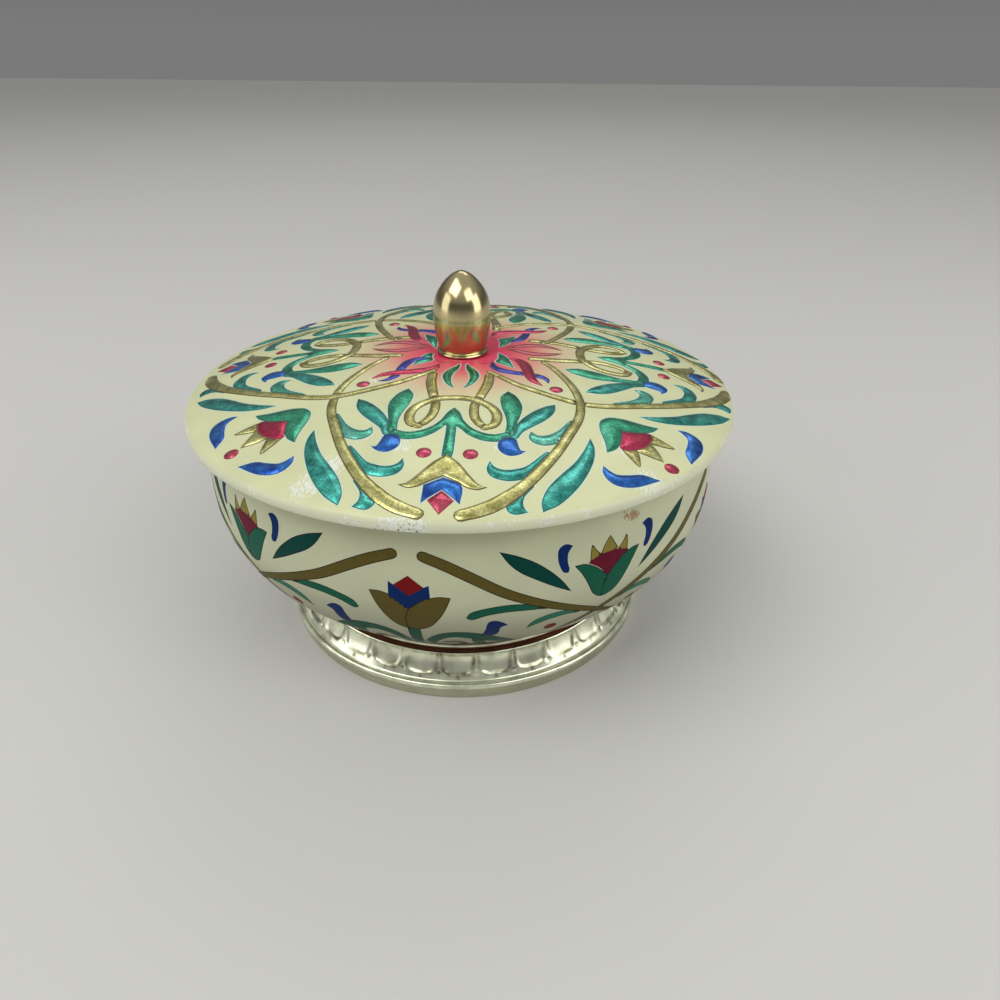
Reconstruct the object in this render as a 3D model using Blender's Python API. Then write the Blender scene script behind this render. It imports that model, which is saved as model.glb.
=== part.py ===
"""A round lidded tin on a stamped metal foot, with a knob on its domed lid.

Units are metres, +Z is up, and the origin is on the surface that the tin stands on, under its centre.
The front of the tin looks along -Y. Four pieces are stacked: foot, bowl, lid and finial. Each is a turned
profile. The lid's raised straps, leaves and flowers and the foot's tongues are stamped into those profiles.
"""
from math import atan2, cos, hypot, pi, radians, sin, sqrt

import bmesh
import bpy
from mathutils import Vector
from mathutils.geometry import delaunay_2d_cdt

MM = 0.001

# Sheet metal and fits
BOWL_SHEET = 0.30 * MM
LID_SHEET = 0.28 * MM
FOOT_SHEET = 0.32 * MM
RESTING_GAP = 0.30 * MM
SKIRT_CLEARANCE = 0.60 * MM

# Foot: a stamped ring, open inside
FOOT_RADIUS = 68.8 * MM
FLANGE_HEIGHT = 5.4 * MM
HEM_WIDTH = 1.3 * MM
FLANGE_BEAD = 1.0 * MM
GROOVE_DEPTH = 2.4 * MM
BAND_HEIGHT = 8.6 * MM
BAND_TOP_RADIUS = 63.6 * MM
NECK_RADIUS = 61.7 * MM
NECK_HEIGHT = 3.0 * MM
NECK_BEAD = 0.75 * MM
SEAT_RADIUS = 60.6 * MM
SEAT_RISE = 1.5 * MM
TONGUES = 32
TONGUE_RISE = 0.7 * MM
BAND_ROUND = (0.2, 0.8)
BAND_POWER = 1.3

# Bowl: a drawn sheet body, from its floor to its curled mouth
BOWL_RADIUS = 90.3 * MM
BOWL_BELLY = 52.1 * MM
BELLY_POWER = 2.3
FLOOR_RADIUS = 47.0 * MM
FLOOR_CORNER = 1.2 * MM
WALL_HEIGHT = 21.3 * MM
WALL_TAPER = 2.9 * MM
MOUTH_CURL = 0.8 * MM

# Lid: a domed sheet with a rolled edge, a seat and a skirt that drops into the mouth
LID_RADIUS = 95.0 * MM
LID_SIDE = 1.0 * MM
EDGE_SOFT = 0.3 * MM
PATTERN_MARGIN = 1.0 * MM
LID_RISE = 14.45 * MM
DOME_POWER = 2.56
SHOULDER_WIDTH = 5.6 * MM
SHOULDER_RISE = 4.2 * MM
SKIRT_DEPTH = 6.5 * MM
DIMPLE_SLOPE = 2.8 * MM
DIMPLE_DEPTH = 1.2 * MM

# Stamped pattern of the lid: one eighth, mirrored and turned
PATTERN_DRAWN_ON = 95.0 * MM
PATTERN_TURN = -2.2
PATTERN_SHIFT = (1.6 * MM, -1.0 * MM)
RELIEF = 0.50 * MM
RELIEF_EDGE = 0.60 * MM
# Stations (out, across, half width) in millimetres, seen from the lid's centre, with the motif's axis outwards
STRAP = ((89.3, 6.4, 2.2), (83.5, 15.8, 2.3), (74.3, 24.3, 2.2), (63.0, 32.2, 2.0),
         (51.0, 36.8, 1.8), (38.2, 38.2, 1.5), (27.0, 35.8, 1.3), (9.9, 26.9, 1.3))
LONG_LEAF = ((57.2, 40.0, 0.3), (69.5, 38.0, 3.6), (79.0, 33.8, 4.0), (86.6, 27.0, 0.4))
CALYX_LEAF = ((69.6, 0.8, 0.3), (73.6, 3.4, 2.2), (77.6, 7.2, 2.2), (81.2, 11.8, 0.3))
CROWN = ((80.6, 0, 2.6), (84.6, 0, 4.6), (88.0, 0, 3.4), (91.2, 0, 0.3))
TULIP_LEAF = ((66.4, 1.2, 0.3), (69.4, 4.6, 2.6), (73.0, 8.0, 2.4), (74.6, 11.2, 0.3))
TULIP_CUP = ((72.6, 0, 4.0), (77.4, 0, 5.8), (82.4, 0, 6.2), (86.2, 0, 0.8))

# Finial: an acorn knob
FINIAL_HEIGHT = 28.6 * MM
LIP_RADIUS = 8.9 * MM
LIP_HEIGHT = 0.9 * MM
FINIAL_NECK_RADIUS = 8.0 * MM
CUP_RADIUS = 9.95 * MM
CUP_HEIGHT = 12.0 * MM
CUP_POWER = 1.6
TIP_POWER = 0.53

# Facets
ROUND_STEPS = 54
FOOT_STEPS = 2 * TONGUES
FINIAL_STEPS = 20
BELLY_STEPS = 5
SEAT_STEPS = 18
DOME_GRID = 13.0 * MM
MERGE = 0.002 * MM
LOOP_TIP = 20 * MERGE


def belly_radius(below):
    """The bowl's radius at a distance below its widest level."""
    return BOWL_RADIUS * (1 - (below / BOWL_BELLY) ** BELLY_POWER) ** (1 / BELLY_POWER)


def belly_depth(radius):
    """How far below its widest level the bowl has a radius."""
    return BOWL_BELLY * (1 - (radius / BOWL_RADIUS) ** BELLY_POWER) ** (1 / BELLY_POWER)


# Levels that follow from the sizes above
BAND_FOOT = FLANGE_HEIGHT + FLANGE_BEAD
BAND_TOP = BAND_FOOT + BAND_HEIGHT
FOOT_HEIGHT = BAND_TOP + NECK_HEIGHT + 2 * NECK_BEAD + SEAT_RISE
WIDEST_LEVEL = FOOT_HEIGHT + RESTING_GAP + belly_depth(SEAT_RADIUS)
MOUTH_LEVEL = WIDEST_LEVEL + WALL_HEIGHT
MOUTH_RADIUS = BOWL_RADIUS - WALL_TAPER
SEAT_LEVEL = MOUTH_LEVEL + RESTING_GAP
LID_LEVEL = SEAT_LEVEL + LID_SHEET + LID_SIDE
FINIAL_LEVEL = LID_LEVEL + LID_RISE - DIMPLE_DEPTH + RESTING_GAP
KNOB_SEAT = LIP_RADIUS + 2 * RESTING_GAP
DIMPLE_RADIUS = KNOB_SEAT + DIMPLE_SLOPE


def material(name, colour, roughness, metallic):
    """A plain Principled material."""
    made = bpy.data.materials.new(name)
    made.use_nodes = True
    shader = made.node_tree.nodes["Principled BSDF"]
    shader.inputs["Base Color"].default_value = (*colour, 1.0)
    shader.inputs["Roughness"].default_value = roughness
    shader.inputs["Metallic"].default_value = metallic
    made.diffuse_color = (*colour, 1.0)
    return made


def arc(centre, radius, start, end, steps):
    """Points of a round stretch of a profile, by angle in degrees."""
    angles = [radians(start + (end - start) * k / steps) for k in range(steps + 1)]
    return [(centre[0] + radius * cos(a), centre[1] + radius * sin(a)) for a in angles]


def inner_line(points, sheet):
    """The same line moved in by the sheet's thickness, on its left-hand side, in the same order."""
    moved = []
    for k, (r, z) in enumerate(points):
        before = points[max(k - 1, 0)]
        after = points[min(k + 1, len(points) - 1)]
        one = Vector((r - before[0], z - before[1])) if k else Vector((after[0] - r, after[1] - z))
        two = Vector((after[0] - r, after[1] - z)) if k < len(points) - 1 else one
        side = Vector((-one.normalized().y - two.normalized().y, one.normalized().x + two.normalized().x))
        side.normalize()
        reach = sheet / max(0.5, side.dot(Vector((-one.normalized().y, one.normalized().x))))
        moved.append((max(0.0, r + side.x * reach), z + side.y * reach))
    return moved


def turn(profile, steps, closed=True):
    """A mesh turned about Z from a profile of (radius, height) points; one that meets the axis stays open there."""
    bm = bmesh.new()
    verts = [bm.verts.new((r, 0.0, z)) for r, z in profile]
    last = len(verts) if closed and profile[0][0] > 0 else len(verts) - 1
    edges = [bm.edges.new((verts[k], verts[(k + 1) % len(verts)])) for k in range(last)]
    bmesh.ops.spin(bm, geom=verts + edges, cent=(0, 0, 0), axis=(0, 0, 1),
                   angle=2 * pi, steps=steps, use_merge=True, use_duplicate=False)
    bmesh.ops.remove_doubles(bm, verts=bm.verts, dist=MERGE)
    bmesh.ops.dissolve_degenerate(bm, edges=bm.edges, dist=MERGE)
    return bm


def finish(bm, name, look):
    """An object from a bmesh, with its faces pointing out."""
    bmesh.ops.remove_doubles(bm, verts=bm.verts, dist=MERGE)
    bmesh.ops.recalc_face_normals(bm, faces=bm.faces)
    mesh = bpy.data.meshes.new(name)
    bm.to_mesh(mesh)
    bm.free()
    mesh.shade_smooth()
    mesh.set_sharp_from_angle(angle=radians(35))
    mesh.materials.append(look)
    piece = bpy.data.objects.new(name, mesh)
    bpy.context.scene.collection.objects.link(piece)
    return piece


def foot_line():
    """The foot's outer line, from the edge it stands on up to the bowl's seat."""
    groove = FOOT_RADIUS - GROOVE_DEPTH
    neck_bead = (NECK_RADIUS, BAND_TOP + NECK_HEIGHT + NECK_BEAD)
    line = [(FOOT_RADIUS - HEM_WIDTH, 0.0), (FOOT_RADIUS, 0.0)]
    line += arc((FOOT_RADIUS - FLANGE_BEAD, FLANGE_HEIGHT), FLANGE_BEAD, 0, 70, 1)
    line.append((groove, BAND_FOOT))
    for share in BAND_ROUND:
        line.append((BAND_TOP_RADIUS + (groove - BAND_TOP_RADIUS) * (1 - share) ** BAND_POWER,
                     BAND_FOOT + BAND_HEIGHT * share))
    line += [(BAND_TOP_RADIUS, BAND_TOP), (NECK_RADIUS, BAND_TOP + 0.3 * NECK_HEIGHT)]
    line += arc(neck_bead, NECK_BEAD, -55, 55, 1)
    line.append((SEAT_RADIUS, FOOT_HEIGHT))
    return line


def tongue_rise(angle, height):
    """How far the stamped band stands out at an angle round the foot."""
    share = (height - BAND_FOOT) / BAND_HEIGHT
    if not BAND_ROUND[0] / 2 < share < (1 + BAND_ROUND[1]) / 2:
        return 0.0
    phase = (angle * TONGUES / (2 * pi)) % 1.0
    return TONGUE_RISE if phase < 0.5 else 0.0


def make_foot(look):
    """The stamped ring, with a row of tongues round its band."""
    line = foot_line()
    bm = turn(line + list(reversed(inner_line(line, FOOT_SHEET))), FOOT_STEPS)
    half_step = pi / FOOT_STEPS
    for v in bm.verts:
        radius = hypot(v.co.x, v.co.y)
        rise = tongue_rise(atan2(v.co.y, v.co.x) + half_step, v.co.z)
        v.co.x *= 1 + rise / radius
        v.co.y *= 1 + rise / radius
    return finish(bm, "foot", look)


def bowl_line():
    """The bowl's outer line, from the middle of its floor up to its mouth."""
    edge = FLOOR_RADIUS + FLOOR_CORNER
    floor = WIDEST_LEVEL - belly_depth(edge)
    line = [(0.0, floor), (FLOOR_RADIUS - FLOOR_CORNER, floor)]
    depth = belly_depth(edge) - FLOOR_CORNER
    for k in range(BELLY_STEPS + 1):
        below = depth * (1 - k / BELLY_STEPS) ** 1.25
        line.append((belly_radius(below), WIDEST_LEVEL - below))
    line.append((BOWL_RADIUS - WALL_TAPER * 0.6 ** 2, WIDEST_LEVEL + WALL_HEIGHT * 0.6))
    line.append((MOUTH_RADIUS, MOUTH_LEVEL))
    return line


def make_bowl(look):
    """The thin body, hollow and empty, with a small outward curl round its mouth."""
    line = bowl_line()
    inside = inner_line(line, BOWL_SHEET)
    curl = MOUTH_RADIUS + MOUTH_CURL
    outside = line[:-1]
    outside.append((MOUTH_RADIUS, MOUTH_LEVEL - 2 * MOUTH_CURL))
    outside.append((curl, MOUTH_LEVEL - 1.3 * MOUTH_CURL))
    outside.append((MOUTH_RADIUS + 0.5 * MOUTH_CURL, MOUTH_LEVEL))
    rim = (MOUTH_RADIUS - BOWL_SHEET, MOUTH_LEVEL)
    bm = turn(outside + [rim] + list(reversed(inside[:-1])), ROUND_STEPS)
    return finish(bm, "bowl", look)


def dome_height(radius):
    """Height of the lid's outer surface above its rolled edge, at a radius."""
    start = LID_RADIUS - SHOULDER_WIDTH
    if radius >= start:
        across = min(1.0, (radius - start) / SHOULDER_WIDTH)
        return SHOULDER_RISE * sqrt(1 - across * across)
    if radius <= KNOB_SEAT:
        return LID_RISE - DIMPLE_DEPTH
    height = LID_RISE - (LID_RISE - SHOULDER_RISE) * (radius / start) ** DOME_POWER
    return height - DIMPLE_DEPTH * max(0.0, 1 - (radius - KNOB_SEAT) / DIMPLE_SLOPE)


def place_band(stations, turned, mirrored):
    """A band's stations in the lid's plane, turned to their place in the pattern, with half widths as Z."""
    angle = radians(turned + PATTERN_TURN)
    grown = MM * LID_RADIUS / PATTERN_DRAWN_ON
    placed = []
    for out, across, half in stations:
        across = -across if mirrored else across
        x = (out * sin(angle) + across * cos(angle)) * grown + PATTERN_SHIFT[0]
        y = (across * sin(angle) - out * cos(angle)) * grown + PATTERN_SHIFT[1]
        placed.append(Vector((x, y, half * grown)))
    return placed


def lid_bands():
    """Every raised band of the lid: the straps, the long leaves, the calyx flowers and the tulips."""
    bands = []
    for quarter in (0, 90, 180, 270):
        for mirrored in (False, True):
            bands.append(place_band(STRAP, quarter, mirrored))
            bands.append(place_band(LONG_LEAF, quarter, mirrored))
            bands.append(place_band(CALYX_LEAF, quarter, mirrored))
            bands.append(place_band(TULIP_LEAF, quarter + 45, mirrored))
        bands.append(place_band(CROWN, quarter, False))
        bands.append(place_band(TULIP_CUP, quarter + 45, False))
    return bands


def depth_in_bands(x, y, bands):
    """How far a point of the lid's plane lies inside the edge of each band; outside is negative."""
    depths = []
    for band in bands:
        for a, b in zip(band, band[1:]):
            run = (b - a).xy
            share = (Vector((x, y)) - a.xy).dot(run) / run.length_squared
            share = min(1.0, max(0.0, share))
            spine = a.lerp(b, share)
            depths.append(spine.z - hypot(x - spine.x, y - spine.y))
    return depths


def relief(x, y, bands):
    """Height of the stamped pattern at a point of the lid's plane."""
    depth = max(depth_in_bands(x, y, bands), default=0.0)
    return RELIEF * min(1.0, max(0.0, depth) / RELIEF_EDGE)


def band_loop(band, inset):
    """The closed outline of a band, moved in by an inset."""
    left = []
    right = []
    for k, p in enumerate(band):
        along = (band[min(k + 1, len(band) - 1)] - band[max(k - 1, 0)]).xy.normalized()
        half = max(LOOP_TIP, p.z - inset)
        left.append((p.x - along.y * half, p.y + along.x * half))
        right.append((p.x + along.y * half, p.y - along.x * half))
    return left + right[::-1]


def ring(radius, count):
    """Points evenly round a circle."""
    return [(radius * cos(2 * pi * k / count), radius * sin(2 * pi * k / count)) for k in range(count)]


def dome_grid(edge_radius):
    """Points that carry the dome's curve, inside an edge ring."""
    points = [(0.0, 0.0)]
    for radius in (KNOB_SEAT, DIMPLE_RADIUS):
        points += ring(radius, SEAT_STEPS)
    rings = round((edge_radius - DIMPLE_RADIUS) / DOME_GRID)
    for k in range(1, rings):
        radius = DIMPLE_RADIUS + (edge_radius - DIMPLE_RADIUS) * k / rings
        points += ring(radius, 6 * round(2 * pi * radius / DOME_GRID / 6))
    return points


def dome_sheet(bm, edge_radius, bands, drop):
    """Triangles over the lid's plane out to a radius, lifted onto the dome, less a drop."""
    grid = dome_grid(edge_radius)
    if edge_radius > LID_RADIUS - SHOULDER_WIDTH:
        grid += ring(LID_RADIUS - SHOULDER_WIDTH, ROUND_STEPS)
    clear = [p for p in grid if all(abs(d) > RELIEF_EDGE for d in depth_in_bands(*p, bands))]
    points = ring(edge_radius, ROUND_STEPS) + clear
    edges = []
    for band in bands:
        for inset in (0.0, RELIEF_EDGE):
            loop = band_loop(band, inset)
            first = len(points)
            points += loop
            edges += [(first + k, first + (k + 1) % len(loop)) for k in range(len(loop))]
    coords, _, faces, _, _, _ = delaunay_2d_cdt([Vector(p) for p in points], edges, [], 0, MERGE)
    verts = []
    for x, y in coords:
        height = dome_height(hypot(x, y)) + relief(x, y, bands) - drop
        verts.append(bm.verts.new((x, y, LID_LEVEL + height)))
    for face in faces:
        bm.faces.new([verts[k] for k in face])


def make_lid(look):
    """The domed sheet with its stamped pattern, rolled edge, seat and skirt."""
    shoulder = LID_RADIUS - SHOULDER_WIDTH
    pattern_edge = LID_RADIUS - PATTERN_MARGIN
    soft_edge = LID_RADIUS - EDGE_SOFT
    skirt = MOUTH_RADIUS - BOWL_SHEET - SKIRT_CLEARANCE
    side = LID_RADIUS - LID_SHEET
    line = [(pattern_edge, LID_LEVEL + dome_height(pattern_edge))]
    line += [(soft_edge, LID_LEVEL + dome_height(soft_edge)), (LID_RADIUS, LID_LEVEL),
             (LID_RADIUS, SEAT_LEVEL + LID_SHEET), (side, SEAT_LEVEL), (skirt, SEAT_LEVEL),
             (skirt, SEAT_LEVEL - SKIRT_DEPTH), (skirt - LID_SHEET, SEAT_LEVEL - SKIRT_DEPTH),
             (skirt - LID_SHEET, SEAT_LEVEL + LID_SHEET), (side, SEAT_LEVEL + LID_SHEET), (side, LID_LEVEL)]
    for across in (0.9, 0.6, 0.3):
        radius = shoulder + SHOULDER_WIDTH * across
        line.append((radius - LID_SHEET * across, LID_LEVEL + dome_height(radius) - LID_SHEET))
    line.append((shoulder, LID_LEVEL + dome_height(shoulder) - LID_SHEET))
    bm = turn(line, ROUND_STEPS, closed=False)
    dome_sheet(bm, pattern_edge, lid_bands(), 0.0)
    dome_sheet(bm, shoulder, [], LID_SHEET)
    return finish(bm, "lid", look)


def make_finial(look):
    """The solid acorn knob: a lip, a flared cup and a pointed cap."""
    line = [(0.0, 0.0), (LIP_RADIUS, 0.0), (LIP_RADIUS, 0.6 * LIP_HEIGHT), (FINIAL_NECK_RADIUS, 1.4 * LIP_HEIGHT)]
    start = line[-1][1]
    for share in (0.25, 0.55, 1.0):
        line.append((CUP_RADIUS - (CUP_RADIUS - FINIAL_NECK_RADIUS) * (1 - share) ** CUP_POWER,
                     start + (CUP_HEIGHT - start) * share))
    for k in range(1, 9):
        share = sin(radians(90 * k / 8))
        line.append((CUP_RADIUS * (1 - share ** 2) ** TIP_POWER if k < 8 else 0.0,
                     CUP_HEIGHT + (FINIAL_HEIGHT - CUP_HEIGHT) * share))
    bm = turn([(r, z + FINIAL_LEVEL) for r, z in line], FINIAL_STEPS)
    return finish(bm, "finial", look)


def clear_scene():
    """Removes what a new file holds."""
    for item in list(bpy.data.objects):
        bpy.data.objects.remove(item, do_unlink=True)


def build():
    """The whole tin."""
    clear_scene()
    gold = material("pale_gold_plate", (0.78, 0.74, 0.50), 0.18, 1.0)
    brass = material("brass_knob", (0.62, 0.54, 0.27), 0.16, 1.0)
    cream_bowl = material("cream_litho_print", (0.60, 0.58, 0.40), 0.35, 0.0)
    cream_lid = material("cream_lacquer", (0.70, 0.70, 0.46), 0.28, 0.0)
    make_foot(gold)
    make_bowl(cream_bowl)
    make_lid(cream_lid)
    make_finial(brass)


build()
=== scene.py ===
# %% [markdown]
# # A round lidded tin, dressed for the camera
# The solids of a footed tin come in as a fixed frame. Around them this lesson builds what the eye sees: a
# lithographed bowl, a lid stamped with straps, leaves and tulips, a bright stamped foot and an acorn knob.
# All sizes are real ones, in metres in the scene and in millimetres in the tables of the ornament.

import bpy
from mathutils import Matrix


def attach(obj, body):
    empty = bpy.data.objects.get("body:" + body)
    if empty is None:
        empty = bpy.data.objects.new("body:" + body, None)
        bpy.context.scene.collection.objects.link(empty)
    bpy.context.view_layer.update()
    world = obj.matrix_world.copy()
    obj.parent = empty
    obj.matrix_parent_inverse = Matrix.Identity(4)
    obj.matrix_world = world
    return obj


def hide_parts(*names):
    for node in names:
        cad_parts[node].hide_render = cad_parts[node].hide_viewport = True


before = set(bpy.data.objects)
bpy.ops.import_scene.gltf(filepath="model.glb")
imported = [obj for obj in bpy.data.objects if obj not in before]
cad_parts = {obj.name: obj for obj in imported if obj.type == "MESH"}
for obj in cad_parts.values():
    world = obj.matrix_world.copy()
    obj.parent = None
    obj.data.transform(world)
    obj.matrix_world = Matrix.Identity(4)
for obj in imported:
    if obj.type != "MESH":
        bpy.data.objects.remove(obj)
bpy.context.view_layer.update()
print("nodes of the frame:", sorted(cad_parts))

# %% [markdown]
# ## What the lesson needs
# Blender's own modules make the meshes and the materials, numpy works out many points at once, and
# Blender's Delaunay triangulation turns drawn outlines into faces. Real sizes are written in millimetres,
# times MM.

# %% Modules and units
from math import cos, hypot, pi, radians, sin, sqrt

import bpy
import numpy as np
from mathutils import Matrix, Vector
from mathutils.geometry import delaunay_2d_cdt

MM = 0.001
print("one millimetre is", MM, "of the scene's units")

# %% [markdown]
# ## The camera
# A photographer stands a little above the tin and close to it, which makes the front of the lid wide and
# the back narrow. A real lens is set by its focal length on a 36 mm sensor, and a hand-held camera is
# never quite level, so the camera is also rolled by half a degree.

# %% Camera
CAMERA_PLACE = (13.75 * MM, -253.06 * MM, 189.9 * MM)
CAMERA_LENS = 26.82
CAMERA_TILT = radians(59.02)
CAMERA_ROLL = radians(0.58)

camera = bpy.data.objects.new("camera", bpy.data.cameras.new("camera"))
bpy.context.scene.collection.objects.link(camera)
camera.data.lens = CAMERA_LENS
camera.data.clip_start = 1 * MM
camera.matrix_world = (Matrix.Translation(CAMERA_PLACE) @ Matrix.Rotation(CAMERA_TILT, 4, "X")
                       @ Matrix.Rotation(CAMERA_ROLL, 4, "Z"))
bpy.context.scene.camera = camera
bpy.context.scene.view_settings.view_transform = "Standard"
print("camera", CAMERA_LENS, "mm at", CAMERA_PLACE)

# %% [markdown]
# ## Helpers for materials
# Paint charts give colours as sRGB hex codes, while a renderer adds light in linear numbers, so one
# function turns the first into the second. One more adds any node with its settings and links, and hands
# back its output, so a material reads from its first pattern to its shader. A pattern's scale comes from
# its real size.


# %% Material helpers
PLACE, SPLIT, SHIFT = "ShaderNodeTexCoord", "ShaderNodeSeparateXYZ", "ShaderNodeMapping"
NOISE, RAMP, BUMP = "ShaderNodeTexNoise", "ShaderNodeValToRGB", "ShaderNodeBump"
MIX, MATH, VECTOR, SPAN = "ShaderNodeMix", "ShaderNodeMath", "ShaderNodeVectorMath", "ShaderNodeMapRange"
BLEND = {"out": 2, "data_type": "RGBA"}
TIMES = {"out": 2, "data_type": "RGBA", "blend_type": "MULTIPLY"}


def linear(code):
    """An sRGB hex colour as a linear RGBA tuple."""
    parts = [int(code[k:k + 2], 16) / 255 for k in (1, 3, 5)]
    return tuple(p / 12.92 if p <= 0.04045 else ((p + 0.055) / 1.055) ** 2.4 for p in parts) + (1.0,)


def grey(value):
    """A neutral linear colour."""
    return (value, value, value, 1.0)


def wire(made, node, inputs):
    """Gives each named socket of a node a value, or a link from another node's output."""
    for socket, value in inputs.items():
        if isinstance(value, bpy.types.NodeSocket):
            made.node_tree.links.new(value, node.inputs[socket])
        else:
            node.inputs[socket].default_value = value


def add(made, kind, inputs=None, out=0, stops=(), **settings):
    """Adds a node and returns one of its outputs; stops are a colour ramp's positions and colours."""
    node = made.node_tree.nodes.new(kind)
    for name, value in settings.items():
        setattr(node, name, value)
    wire(made, node, inputs or {})
    if stops:
        elements = node.color_ramp.elements
        while len(elements) < len(stops):
            elements.new(0.5)
        for element, (position, colour) in zip(elements, stops):
            element.position = position
            element.color = colour
    return node.outputs[out]


def noise(made, place, size_mm, detail):
    """Soft noise whose blotches are about a size in millimetres across."""
    return add(made, NOISE, {"Vector": place, "Scale": 1 / (size_mm * MM), "Detail": detail})


def new_material(name):
    """A material, its Principled shader, and the place on the piece that its patterns read."""
    made = bpy.data.materials.new(name)
    made.use_nodes = True
    return made, made.node_tree.nodes["Principled BSDF"], add(made, PLACE, out="Object")


print("material helpers ready")

# %% [markdown]
# ## The floor
# A product is shown on a plain pale sweep of paper. Paper has no gloss, so its roughness is full and its
# mirror share is nought. The floor is the stage, not a part of the tin.

# %% Floor
FLOOR_SIZE = 12.0
bpy.ops.object.select_all(action="DESELECT")
bpy.ops.mesh.primitive_plane_add(size=FLOOR_SIZE, location=(0, 0, 0))
floor = bpy.context.object
floor.name = "paper_floor"
paper, paper_shader, _ = new_material("matte_paper_sweep")
wire(paper, paper_shader, {"Base Color": linear("#C9C8C4"), "Roughness": 1.0, "Specular IOR Level": 0.0})
floor.data.materials.append(paper)
print("floor", floor.dimensions[:])


# %% [markdown]
# ## The light
# Large soft lamps give the wide, gentle highlights that show polished metal well: a key from the upper
# left, a fill, a lamp behind, and a low strip at each side that lights the foot. The world is a plain
# grey, darkest a little above the horizon, so that the bright metal has something darker to reflect as
# well.

# %% Lamps and world
SKY = ((0.02, 0.215), (0.22, 0.12), (0.50, 0.34), (0.85, 0.60))
SKY_STRENGTH = 0.9


def soft_lamp(name, place, aim_height, size, watts):
    """An area lamp that faces a point above the middle of the floor."""
    lamp = bpy.data.objects.new(name, bpy.data.lights.new(name, "AREA"))
    bpy.context.scene.collection.objects.link(lamp)
    lamp.data.shape = "RECTANGLE"
    lamp.data.size, lamp.data.size_y = size
    lamp.data.energy = watts
    lamp.location = place
    lamp.rotation_euler = (Vector((0, 0, aim_height)) - Vector(place)).to_track_quat("-Z", "Y").to_euler()


soft_lamp("key_lamp", (-0.90, -0.70, 1.90), 0.08, (1.60, 1.20), 19.0)
soft_lamp("fill_lamp", (1.10, -1.10, 1.60), 0.05, (1.20, 0.90), 8.0)
soft_lamp("back_lamp", (0.20, 1.60, 2.20), 0.08, (1.60, 0.80), 6.0)
soft_lamp("left_strip", (-0.95, -0.35, 0.38), 0.03, (0.60, 0.74), 2.3)
soft_lamp("right_strip", (0.95, -0.35, 0.38), 0.03, (0.60, 0.74), 2.8)

world = bpy.data.worlds.new("studio")
bpy.context.scene.world = world
world.use_nodes = True
up = add(world, SPLIT, {"Vector": add(world, PLACE, out="Generated")}, out="Z")
glow = add(world, RAMP, {"Fac": up}, stops=[(height, grey(bright)) for height, bright in SKY])
wire(world, world.node_tree.nodes["Background"], {"Color": glow, "Strength": SKY_STRENGTH})

# %% [markdown]
# ## Turned shapes
# Foot, bowl, lid and knob are all turned about one axis. A turned shape starts as a profile, a line of
# (radius, height) points, that the Spin operator carries round in edit mode. Doubles are merged where the
# turn closes, and the normals are made to point outwards.


# %% Spin helper
def deselect():
    """Nothing stays selected."""
    if bpy.context.object and bpy.context.object.mode != "OBJECT":
        bpy.ops.object.mode_set(mode="OBJECT")
    bpy.ops.object.select_all(action="DESELECT")


def piece_of(name, points, edges=(), faces=()):
    """A mesh object, selected and active."""
    deselect()
    mesh = bpy.data.meshes.new(name)
    mesh.from_pydata([tuple(p) for p in points], list(edges), list(faces))
    made = bpy.data.objects.new(name, mesh)
    bpy.context.scene.collection.objects.link(made)
    made.select_set(True)
    bpy.context.view_layer.objects.active = made
    return made


MERGE = 0.002 * MM


def close_seams():
    """Merges doubles and turns the normals outwards on the mesh that is being edited."""
    bpy.ops.mesh.select_all(action="SELECT")
    bpy.ops.mesh.remove_doubles(threshold=MERGE)
    bpy.ops.mesh.normals_make_consistent(inside=False)
    bpy.ops.object.mode_set(mode="OBJECT")


def spun(name, profile, steps):
    """A profile of (radius, height) in millimetres turned round the Z axis."""
    points = [(r * MM, 0.0, z * MM) for r, z in profile]
    made = piece_of(name, points, [(k, k + 1) for k in range(len(points) - 1)])
    bpy.ops.object.mode_set(mode="EDIT")
    bpy.ops.mesh.select_all(action="SELECT")
    bpy.ops.mesh.spin(steps=steps, angle=2 * pi, center=(0, 0, 0), axis=(0, 0, 1))
    close_seams()
    return made


def joined(whole, *parts):
    """Joins parts to a whole and closes the seams between them."""
    deselect()
    for piece in (whole, *parts):
        piece.select_set(True)
    bpy.context.view_layer.objects.active = whole
    bpy.ops.object.join()
    bpy.ops.object.mode_set(mode="EDIT")
    close_seams()


def arc(centre, radius, start, end, steps):
    """Points on a round stretch of a profile, by angle in degrees."""
    angles = [radians(start + (end - start) * k / steps) for k in range(steps + 1)]
    return [(centre[0] + radius * cos(a), centre[1] + radius * sin(a)) for a in angles]


def shade_and_ride(made, node, sharp=40):
    """Smooth shading, and the piece's place in the frame."""
    deselect()
    made.select_set(True)
    bpy.context.view_layer.objects.active = made
    bpy.ops.object.shade_smooth_by_angle(angle=radians(sharp))
    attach(made, "root")
    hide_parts(node)
    made.select_set(False)
    print(made.name, len(made.data.polygons), "faces for", node)


print("turning tools ready")

# %% [markdown]
# ## Drawing the ornament
# The maker's artist drew every motif as a closed outline: two bowed sides that meet in two points for a
# leaf, a line with a width for a strap, a circle for a berry. A Catmull-Rom curve passes through a few
# chosen points, so each side of a leaf needs only three to five of them, measured in millimetres.

# %% Outline helpers
STEP_MM = 0.85


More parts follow.
